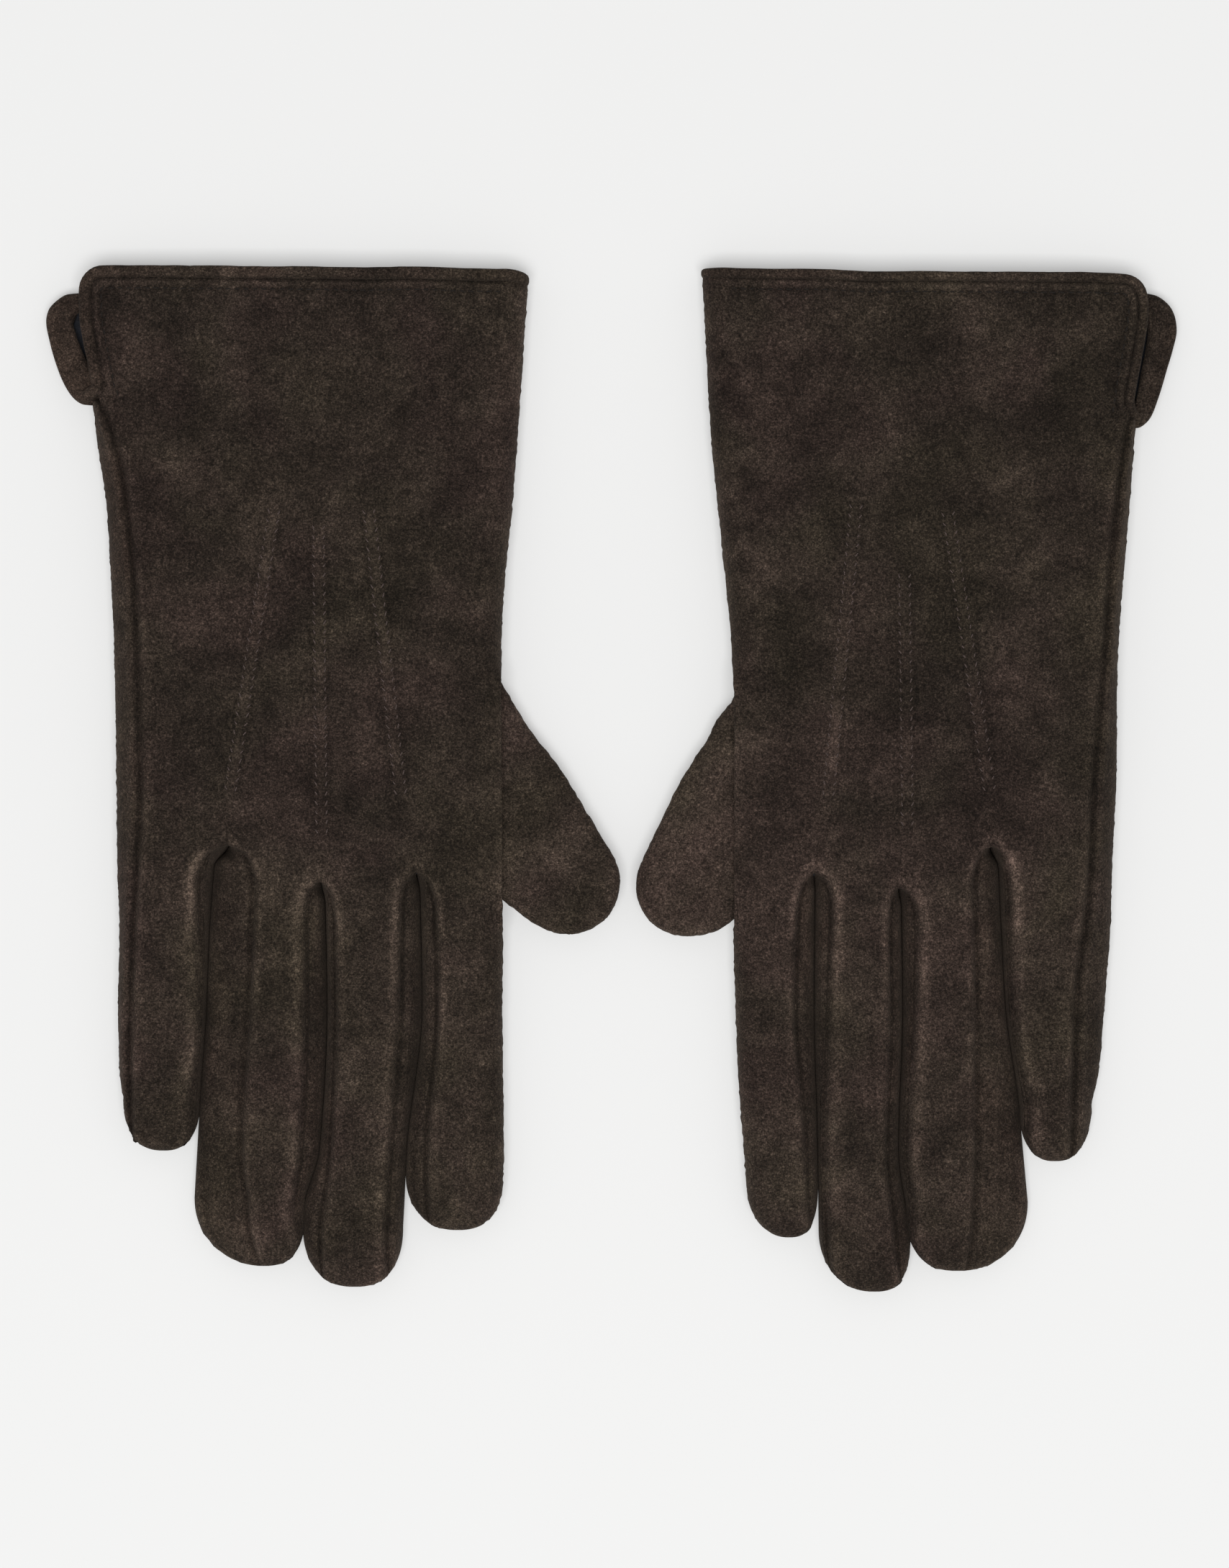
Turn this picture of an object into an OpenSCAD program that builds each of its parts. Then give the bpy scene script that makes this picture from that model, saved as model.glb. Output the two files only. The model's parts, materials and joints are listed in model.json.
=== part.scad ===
// A pair of lined suede dress gloves, lying palm down with the cuffs towards +Y.
// The right-hand glove lies at -X and the left-hand glove at +X, thumbs towards each other.
// In each glove's own coordinates u runs from the little finger's side to the thumb's side,
// v runs towards the cuff and z runs up, all from the middle of the hand.

/* [Leather] */
// Thickness of the suede
leather = 0.9; // [0.7:0.1:1.1]
// Thickness of the fleece lining
fleece = 1.0; // [0.6:0.1:1.2]
// Width of the binding that closes the cuff's edge
binding = 2.4; // [1.8:0.1:3]

/* [Hand] */
// Height of the hand where it lies highest
hand_h = 14; // [13:0.5:16]
// Height of a finger at its root
finger_h = 11; // [10:0.5:12]
// Height of a finger where its tip starts to round off
shoulder_h = 9.6; // [9:0.2:10.4]
// Height of the thumb
thumb_h = 9.6; // [9:0.2:10]
// Place of the cuff's edge, before its binding
cuff_v = 123; // [118:1:126]

/* [Joints] */
// Height of every finger crease above the table
crease_z = 3; // [2.5:0.5:3.5]
// Place of the root creases of the index, middle and ring fingers
root_v = -34; // [-36:1:-33]
// Place of the root crease of the little finger
little_root_v = -27; // [-29:1:-26]
// Opening between two segments on the side nearer the cuff
near_gap = 1; // [0.8:0.1:1.5]
// Opening between two segments on the side nearer the fingertip
far_gap = 3.4; // [3.3:0.1:4]

/* [Thumb] */
// Radius of the thumb's root, which turns in the thumb hole
thumb_root_r = 22; // [20:0.5:22.5]
// Radius of the thumb's tip
thumb_tip_r = 12.6; // [11:0.2:13]
// Distance from the middle of the thumb hole to the middle of the tip's round end
thumb_reach = 37.2; // [34:0.2:39]
// Distance from the middle of the thumb hole to the thumb's crease
thumb_crease = 27; // [25:0.5:29]
// Angle between the right-hand glove's thumb and the line across the hand
thumb_angle = 40; // [36:1:44]
// How much further the left-hand glove's thumb is turned towards its fingers
left_thumb_turn = 5.5; // [4:0.5:6]
// How much shorter the left-hand glove's thumb reaches, tucked under the hand
left_thumb_tuck = 2; // [1:0.5:3]
// How far the thumb hole lets a thumb swing towards the fingers
thumb_swing_in = 6; // [5:1:9]
// How far the thumb hole lets a thumb swing away from the fingers
thumb_swing_out = 12; // [5:1:14]
// Clearance round the thumb's root
thumb_gap = 0.4; // [0.3:0.05:0.6]

/* [Pair] */
// Distance from the pair's middle to the middle of the right-hand glove
right_x = 73.8; // [72:0.1:80]
// Distance from the pair's middle to the middle of the left-hand glove
left_x = 76.3; // [76:0.1:82]

/* [Hidden] */
RIGHT = 0;
LEFT = 1;
SIDES = ["right", "left"];
FINGERS = ["index", "middle", "ring", "little"];
HAND_NODES = ["back_panel", "palm_panel", "hand_lining", "cuff_binding", "hem_stitching",
              "point_stitching", "vent_flap", "thumb_base", "thumb_tip", "thumb_lining"];
FINGER_NODES = ["base", "tip", "base_fourchettes", "tip_fourchettes", "lining"];

SUEDE = [0.19, 0.16, 0.14];
DARK_SUEDE = [0.16, 0.13, 0.115];
FLEECE = [0.08, 0.085, 0.1];
THREAD = [0.24, 0.2, 0.18];

// Hand outline, station by station: v, little finger's side, thumb's side, seam's inset, height.
HAND = [
    [cuff_v, -53.0, 53.2, 2.4, 10.5],
    [91, -52.2, 51.6, 2.8, 11.5],
    [67, -50.2, 49.4, 6.0, 12.5],
    [42, -48.5, 47.4, 6.4, 13.5],
    [14, -47.5, 46.8, 6.4, hand_h],
    [-10, -47.0, 46.8, 6.0, hand_h],
    [root_v + near_gap, -46.6, 46.8, 5.0, finger_h + 1]];
little_end_v = little_root_v + near_gap;
seam_drop = 1.2;
seam_round = 8;
vent_foot_v = [91, 86];
flap_reach = [65, 62.6];

// Each finger: root crease, middle crease, shoulder and tip places; then its bottom and top edges
// at the root and at the shoulder as [low, high], and the middle of its tip.
R_FINGER = [
    [root_v, -66, -97, -110.8, [26.5, 47.0], [30.8, 47.0], [23.8, 47.2], [28.4, 47.2], 35.6],
    [root_v, -70, -109, -124.4, [3.9, 25.9], [6.2, 22.0], [-1.6, 22.4], [3.2, 19.6], 10.4],
    [root_v, -68, -104, -119.6, [-24.8, 3.3], [-15.3, 0.0], [-26.6, -2.2], [-17.0, -3.6], -11.6],
    [little_root_v, -56, -79, -91.3, [-46.8, -25.4], [-42.1, -26.2], [-46.0, -27.6], [-43.6, -28.4], -36.0]];
L_FINGER = [
    [root_v, -66, -99, -112.6, [26.6, 46.3], [30.4, 46.3], [25.4, 43.4], [28.4, 43.0], 32.8],
    [root_v, -70, -110, -125.9, [5.2, 26.1], [8.0, 23.4], [2.8, 24.8], [7.0, 24.0], 11.8],
    [root_v, -68, -104, -120.8, [-19.8, 4.6], [-13.9, 2.2], [-24.4, 2.0], [-14.0, 0.8], -8.8],
    [little_root_v, -56, -80, -93.9, [-46.3, -20.4], [-40.1, -20.8], [-41.5, -25.2], [-36.6, -25.8], -32.4]];
FINGER = [R_FINGER, L_FINGER];
INDEX = 0;
LITTLE = 3;

// Each thumb's own numbers: [middle of the thumb hole, angle, reach].
THUMB = [
    [[34.6, -1.5], thumb_angle, thumb_reach],
    [[33.0, -1.0], thumb_angle + left_thumb_turn, thumb_reach - left_thumb_tuck]];
thumb_top_u = 47.8;

// ---- Shapes swept through stations along v -------------------------------------------------

// One ring of points [u, z] standing at place v.
function ring_at(v, points) = [for (p = points) [p[0], v, p[1]]];

// Two triangles for each side of the band between ring i and ring i + 1, each of n points.
function band(i, n) = [for (j = [0:n - 1]) each
    let (a = i * n + j, b = i * n + (j + 1) % n, c = b + n, d = a + n) [[a, b, c], [a, c, d]]];
function turned(faces) = [for (f = faces) [f[2], f[1], f[0]]];
function joined(rings) = [for (r = rings) each r];
function shifted(faces, by) = [for (f = faces) [for (k = f) k + by]];

// The end of a strip whose ring runs out along one face and back along the other.
function strip_end(n) = n % 2 == 1 ? [[for (j = [0:n - 1]) j]]
    : [for (j = [0:n / 2 - 2]) [j, j + 1, n - 2 - j, n - 1 - j]];

// A solid through rings that run towards -v, each listed clockwise as seen from the cuff.
module loft(rings) {
    n = len(rings[0]);
    near = [for (f = strip_end(n)) [for (k = [len(f) - 1:-1:0]) f[k]]];
    polyhedron(joined(rings), concat(
        [for (i = [0:len(rings) - 2]) each band(i, n)],
        near,
        shifted(strip_end(n), (len(rings) - 1) * n)), convexity = 6);
}

// A hollow sleeve between outer and inner rings. A closed one has a floor at its far end.
module sleeve(outer, inner, closed = false) {
    n = len(outer[0]);
    m = len(outer);
    far = (m - 1) * n;
    inside = m * n;
    walls = [for (i = [0:m - 2]) each band(i, n)];
    mouth = [for (j = [0:n - 1]) each let (k = (j + 1) % n)
        [[j, inside + j, inside + k], [j, inside + k, k]]];
    ends = closed
        ? [[for (j = [0:n - 1]) far + j], [for (j = [n - 1:-1:0]) inside + far + j]]
        : [for (j = [0:n - 1]) each let (k = (j + 1) % n, a = far + j, b = far + k)
            [[a, b, inside + b], [a, inside + b, inside + a]]];
    polyhedron(joined(concat(outer, inner)), concat(
        walls, shifted(turned(walls), inside), mouth, ends), convexity = 6);
}

function mix(a, b, s) = a + (b - a) * s;

// ---- The hand ------------------------------------------------------------------------------

// Outline of the hand at station h, moved inwards by d: seam, crown, fold and palm.
function hand_ring(h, d) = let (o = h[1] + d, i = h[2] - d, top = h[4] - d)
    [[o, d], [o, 0.55 * h[4]], [h[1] + h[3], top - seam_drop], [h[1] + h[3] + seam_round, top],
     [i - seam_round, top], [i - 2, top - 2.6], [i, 0.5 * h[4]], [i, d]];

// The hand's outline at any place v, between its stations.
function lookup_station(v) = let (
    i = max([for (k = [0:len(HAND) - 2]) if (HAND[k][0] >= v) k]),
    s = (HAND[i][0] - v) / (HAND[i][0] - HAND[i + 1][0])) mix(HAND[i], HAND[i + 1], s);

// Height of the back's surface at [u, v], from the outer seam to where the fold turns down.
function crown_at(u, v) = let (h = lookup_station(v), along = (u - h[1] - h[3]) / seam_round)
    h[4] - seam_drop * (1 - max(0, min(1, along)));

// The back panel's leather, from the outer seam over the crown to the foot of the fold.
function back_ring(h) = let (o = hand_ring(h, 0), n = hand_ring(h, leather))
    [o[2], o[3], o[4], o[5], o[6], [o[7][0], leather], n[7], n[6], n[5], n[4], n[3], n[2]];

// The palm's leather where it turns up the little finger's side to the outer seam.
function wall_ring(h) = let (o = hand_ring(h, 0), n = hand_ring(h, leather))
    [[o[0][0], 0.2], o[1], o[2], n[2], n[1], [n[0][0], 0.2]];

// Takes away the hand beyond the little finger's root crease.
module little_step(side) {
    step_u = FINGER[side][LITTLE][4][1] + 0.3;
    translate([-70, root_v - 10, -1]) cube([70 + step_u, little_end_v - root_v + 10, 40]);
}

// Takes away the foot of the fold where the thumb passes under the hand's edge.
module thumb_passage(z0) {
    near_u = 30;
    near_v = 23;
    far_v = root_v - 5;
    translate([near_u, far_v, z0]) cube([40, near_v - far_v, thumb_h + 0.6 - z0]);
}

module back_panel(side) {
    color(SUEDE) difference() {
        loft([for (h = HAND) ring_at(h[0], back_ring(h))]);
        little_step(side);
        thumb_passage(-1);
    }
}

module palm_plate() {
    thumbwards = [for (h = HAND) [h[2], h[0]]];
    littlewards = [for (i = [len(HAND) - 1:-1:0]) [HAND[i][1], HAND[i][0]]];
    linear_extrude(leather) polygon(concat(thumbwards, littlewards));
}

// The room that the thumb sweeps as it swings, clear of the leather round it.
module thumb_hole(side) {
    for (swing = [-thumb_swing_in, 0, thumb_swing_out])
        translate([0, 0, -1]) linear_extrude(thumb_h + 1)
            translate(THUMB[side][0]) rotate(swing) translate(-THUMB[side][0])
            offset(delta = thumb_gap) thumb_outline(side);
}

module palm_panel(side) {
    below_vent = [for (h = HAND) if (h[0] < vent_foot_v[side]) h];
    at_vent = lookup_station(vent_foot_v[side]);
    color(DARK_SUEDE) difference() {
        union() {
            palm_plate();
            loft([for (h = concat([at_vent], below_vent)) ring_at(h[0], wall_ring(h))]);
        }
        little_step(side);
        thumb_hole(side);
    }
}

module hand_lining(side) {
    gap = 0.05;
    color(FLEECE) difference() {
        sleeve([for (h = HAND) ring_at(h[0], hand_ring(h, leather + gap))],
               [for (h = HAND) ring_at(h[0], hand_ring(h, leather + fleece))]);
        little_step(side);
        thumb_passage(-1);
        thumb_hole(side);
    }
}

module cuff_binding() {
    edge = HAND[0];
    roll = 0.5;
    stations = [for (v = [cuff_v + binding, cuff_v + binding - 0.7, cuff_v])
        [v, v > cuff_v + binding - 0.1 ? roll : 0]];
    color(DARK_SUEDE) sleeve(
        [for (s = stations) ring_at(s[0], hand_ring(edge, s[1]))],
        [for (s = stations) ring_at(s[0], hand_ring(edge, leather + fleece))]);
}

// A row of thread along one edge of the back, through the points [u, v].
module thread_row(points) {
    half = 0.25;
    loft([for (p = points) let (z = crown_at(p[0], p[1])) ring_at(p[1],
        [[p[0] - half, z - half], [p[0] - half, z + half], [p[0] + half, z + half], [p[0] + half, z - half]])]);
}

// Two rows of thread round the cuff: one along its edge and one down beside the vent.
module hem_stitching(side) {
    inset = 4.5;
    thread = 0.5;
    seam_u = HAND[0][1] + HAND[0][3];
    row_u = seam_u + inset;
    row_v = cuff_v - inset;
    far_u = HAND[0][2] - seam_round;
    z = crown_at(far_u, row_v);
    color(THREAD) {
        translate([seam_u + seam_round, row_v, z - thread / 2])
            cube([far_u - seam_u - seam_round, thread, thread]);
        thread_row([[row_u, row_v], [row_u + 0.4, vent_foot_v[side]]]);
    }
}

// Three raised tucks on the back, each held by a double row of thread.
module point_stitching() {
    ends = [[[-8.4, 64.9], [-18.8, -2.4]], [[2.5, 61.0], [3.3, -12.9]], [[14.8, 64.9], [22.5, -3.3]]];
    width = 2.4;
    height = 0.6;
    color(THREAD) for (e = ends) {
        passed = [for (h = HAND) if (h[0] < e[0][1] && h[0] > e[1][1]) h[0]];
        loft([for (v = concat([e[0][1]], passed, [e[1][1]]))
            let (u = mix(e[0][0], e[1][0], (e[0][1] - v) / (e[0][1] - e[1][1])), z = crown_at(u, v))
            ring_at(v, [[u - width / 2, z], [u, z + height], [u + width / 2, z]])]);
    }
}

module vent_flap(side) {
    reach = flap_reach[side];
    foot = vent_foot_v[side];
    root_u = 57;
    lift = 1.2;
    thick = 2 * leather + fleece;
    corner = 3.5;
    color(DARK_SUEDE) translate([0, 0, lift]) linear_extrude(thick) hull() {
        translate([corner - reach, 118.5 - corner - 1]) circle(corner, $fn = 32);
        translate([1 - root_u, 117.5]) circle(1, $fn = 24);
        translate([1 - root_u, foot + 3]) circle(1, $fn = 24);
        translate([2.5 - reach + 5, foot + 8]) circle(2.5, $fn = 24);
    }
}

// ---- The fingers ---------------------------------------------------------------------------

// Finger f at place v: [bottom low, bottom high, top low, top high, floor, height].
function finger_at(f, v) = let (
    along = min(1, (f[0] - v) / (f[0] - f[2])),
    s = max(0, min(1, (f[2] - v) / (f[2] - f[3]))),
    round = max(2.6 * leather / shoulder_h, sqrt(1 - s * s)),
    low = mix(f[4], f[6], along), high = mix(f[5], f[7], along),
    mid = (f[6][0] + f[6][1]) / 2,
    drift = (f[8] - mid) * s * s,
    h = mix(finger_h, shoulder_h, along),
    eye = 3.6)
    [for (u = concat(low, high)) s > 0 ? mid + drift + (u - mid) * round : u,
     eye * (1 - round) * s, eye + (h - eye) * round];

// Places at which a tip segment's shape is given, from its near end at v to the fingertip.
function tip_places(f, v) = concat([v, f[2]], [for (a = [30, 52, 70, 90]) f[2] + (f[3] - f[2]) * sin(a)]);

function back_strip(q) = [[q[2], q[5]], [q[3], q[5]], [q[3], q[5] - leather], [q[2], q[5] - leather]];
function palm_strip(q) = [[q[0], q[4] + leather], [q[1], q[4] + leather], [q[1], q[4]], [q[0], q[4]]];

// The index finger's leather is one folded strip, open towards the middle finger.
function fold_strip(q) = let (t = leather, z0 = q[4], z1 = q[5], c = strip_corner(q), n = t + c / 4)
    [[q[2], z1], [q[3] - c, z1], [q[1], z1 - c], [q[1], z0 + c], [q[1] - c, z0], [q[0], z0],
     [q[0], z0 + t], [q[1] - n, z0 + t], [q[1] - t, z0 + n], [q[1] - t, z1 - n],
     [q[3] - n, z1 - t], [q[2], z1 - t]];

// The little finger's leather closes round its outer side, open towards the ring finger.
function outer_strip(q) = let (t = leather, z0 = q[4], z1 = q[5], c = strip_corner(q), n = t + c / 4,
    zm = (z0 + z1) / 2)
    [[q[1], z0], [q[0] + c, z0], [q[0], z0 + c], [q[0], zm], [q[2], z1], [q[3], z1],
     [q[3], z1 - t], [q[2] + 0.3, z1 - t], [q[0] + t, zm], [q[0] + t, z0 + n], [q[0] + n, z0 + t],
     [q[1], z0 + t]];

// How far a folded strip's corners are cut back.
function strip_corner(q) = min(1, 0.2 * (q[5] - q[4]));

module finger_leather(f, kind, places) {
    sections = [for (v = places) finger_at(f, v)];
    rings = [for (i = [0:len(places) - 1]) let (q = sections[i]) kind == INDEX
        ? ring_at(places[i], fold_strip(q))
        : kind == LITTLE ? ring_at(places[i], outer_strip(q)) : ring_at(places[i], back_strip(q))];
    color(SUEDE) {
        loft(rings);
        if (kind != INDEX && kind != LITTLE)
            loft([for (i = [0:len(places) - 1]) ring_at(places[i], palm_strip(sections[i]))]);
    }
}

// One fourchette: the strip that walls a finger on its low side (0) or its high side (1).
function fourchette_ring(q, side) = let (
    t = 1.2 * leather * (side == 0 ? 1 : -1), z0 = q[4] + leather, z1 = q[5] - leather,
    b = q[side], a = q[2 + side], ring = [[b, z0], [a, z1], [a + t, z1], [b + t, z0]])
    side == 0 ? ring : [for (k = [3:-1:0]) ring[k]];

module fourchettes(f, kind, places) {
    sides = kind == INDEX ? [0] : kind == LITTLE ? [1] : [0, 1];
    color(DARK_SUEDE) for (side = sides)
        loft([for (v = places) ring_at(v, fourchette_ring(finger_at(f, v), side))]);
}

// The lining's outline in a finger, d inside the leather.
function lining_ring(q, d) = let (m = 1.4 * leather + d, z0 = q[4] + leather + d, z1 = q[5] - leather - d)
    [[q[0] + m, z0], [q[2] + m, z1], [q[3] - m, z1], [q[1] - m, z0]];

module finger_lining(f) {
    near = f[0] - far_gap;
    places = concat([near], [for (a = [0, 30, 52]) f[2] + (f[3] - f[2]) * sin(a)]);
    sections = [for (v = places) finger_at(f, v)];
    floor_v = 1.5;
    color(FLEECE) sleeve(
        [for (i = [0:3]) ring_at(places[i], lining_ring(sections[i], 0.05))],
        [for (i = [0:3]) ring_at(places[i] + (i == 3 ? floor_v : 0), lining_ring(sections[i], fleece))],
        closed = true);
}

module finger_node(side, kind, part) {
    f = FINGER[side][kind];
    base_places = [f[0] - far_gap, f[1] + near_gap];
    tips = tip_places(f, f[1] - far_gap);
    if (part == "base") finger_leather(f, kind, base_places);
    if (part == "tip") finger_leather(f, kind, tips);
    if (part == "base_fourchettes") fourchettes(f, kind, base_places);
    if (part == "tip_fourchettes") fourchettes(f, kind, [for (i = [0:len(tips) - 2]) tips[i]]);
    if (part == "lining") finger_lining(f);
}

// ---- The thumb -----------------------------------------------------------------------------

module thumb_outline(side, inset = 0) {
    t = THUMB[side];
    hull() {
        translate(t[0]) circle(thumb_root_r - inset, $fn = 72);
        translate(t[0] + t[2] * [cos(t[1]), -sin(t[1])]) circle(thumb_tip_r - inset, $fn = 48);
    }
}

// The half plane from distance d along the thumb outwards, or inwards when outer is false.
module thumb_side(side, d, outer) {
    translate(THUMB[side][0]) rotate(-THUMB[side][1])
        translate([outer ? d : d - 100, -50]) square([100, 100]);
}

module thumb_shell(side, d0, d1, inset, z0, z1) {
    translate([0, 0, z0]) linear_extrude(z1 - z0) intersection() {
        thumb_outline(side, inset);
        thumb_side(side, d0, true);
        thumb_side(side, d1, false);
    }
}

// The space inside the thumb, which opens to the hand above the thumb hole.
module thumb_hollow(side, d0, d1, wall, top) {
    thumb_shell(side, d0, d1, wall, wall, top - wall);
    translate([0, -60, wall]) cube([thumb_top_u, 120, 40]);
}

module thumb_base(side) {
    color(SUEDE) difference() {
        thumb_shell(side, -30, thumb_crease - near_gap, 0, 0, thumb_h);
        thumb_hollow(side, -30, thumb_crease + 1, leather, thumb_h);
    }
}

module thumb_tip(side) {
    color(SUEDE) difference() {
        thumb_shell(side, thumb_crease + far_gap, 90, 0, 0, thumb_h);
        thumb_hollow(side, thumb_crease, 90, leather, thumb_h);
    }
}

module thumb_lining(side) {
    gap = 0.05;
    color(FLEECE) difference() {
        thumb_shell(side, thumb_crease - 12, 90, leather + gap, leather + gap, thumb_h - leather - gap);
        thumb_hollow(side, thumb_crease - 13, 90, leather + fleece, thumb_h);
    }
}

// ---- Both gloves ---------------------------------------------------------------------------

// Stands a glove's own shape in its place in the pair.
module placed(side) {
    if (side == RIGHT) translate([-right_x, 0, 0]) children();
    else translate([left_x, 0, 0]) mirror([1, 0, 0]) children();
}

module hand_node(side, part) {
    if (part == "back_panel") back_panel(side);
    if (part == "palm_panel") palm_panel(side);
    if (part == "hand_lining") hand_lining(side);
    if (part == "cuff_binding") cuff_binding();
    if (part == "hem_stitching") hem_stitching(side);
    if (part == "point_stitching") point_stitching();
    if (part == "vent_flap") vent_flap(side);
    if (part == "thumb_base") thumb_base(side);
    if (part == "thumb_tip") thumb_tip(side);
    if (part == "thumb_lining") thumb_lining(side);
}

for (side = [RIGHT, LEFT]) {
    for (part = HAND_NODES)
        placed(side) hand_node(side, part);
    for (kind = [INDEX:LITTLE], part = FINGER_NODES)
        placed(side) finger_node(side, kind, part);
}
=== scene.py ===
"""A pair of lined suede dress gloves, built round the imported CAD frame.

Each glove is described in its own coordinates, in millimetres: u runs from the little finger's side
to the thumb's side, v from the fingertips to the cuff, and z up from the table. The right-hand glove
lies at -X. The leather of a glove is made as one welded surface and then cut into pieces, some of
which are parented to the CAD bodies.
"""
import json
import math

import bpy
import numpy as np
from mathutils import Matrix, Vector
from mathutils.kdtree import KDTree


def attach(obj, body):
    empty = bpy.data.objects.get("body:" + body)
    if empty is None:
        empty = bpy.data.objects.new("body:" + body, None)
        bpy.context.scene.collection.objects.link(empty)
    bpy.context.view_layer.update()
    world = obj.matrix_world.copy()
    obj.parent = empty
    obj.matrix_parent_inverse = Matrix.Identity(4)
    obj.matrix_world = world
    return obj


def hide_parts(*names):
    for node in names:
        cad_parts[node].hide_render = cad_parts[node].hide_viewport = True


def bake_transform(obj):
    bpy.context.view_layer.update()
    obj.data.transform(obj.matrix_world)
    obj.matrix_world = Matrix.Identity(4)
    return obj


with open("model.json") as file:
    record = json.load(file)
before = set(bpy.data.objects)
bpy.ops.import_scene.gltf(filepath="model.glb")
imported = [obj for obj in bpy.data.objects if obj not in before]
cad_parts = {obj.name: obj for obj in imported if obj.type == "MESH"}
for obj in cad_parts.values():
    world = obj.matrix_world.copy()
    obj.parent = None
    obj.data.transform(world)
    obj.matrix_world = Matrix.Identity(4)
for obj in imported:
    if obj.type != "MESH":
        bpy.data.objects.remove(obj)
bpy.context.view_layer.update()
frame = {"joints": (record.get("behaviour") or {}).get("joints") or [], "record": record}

MM = 0.001
LEATHER = 0.9   # thickness of the suede
FLEECE = 1.0    # thickness of the lining
JOINTS = {joint["name"]: joint for joint in frame["joints"]}
MOUNTS = {mount["name"]: mount for mount in frame["record"]["mounts"]}
FINGERS = ("little", "ring", "middle", "index")

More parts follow.
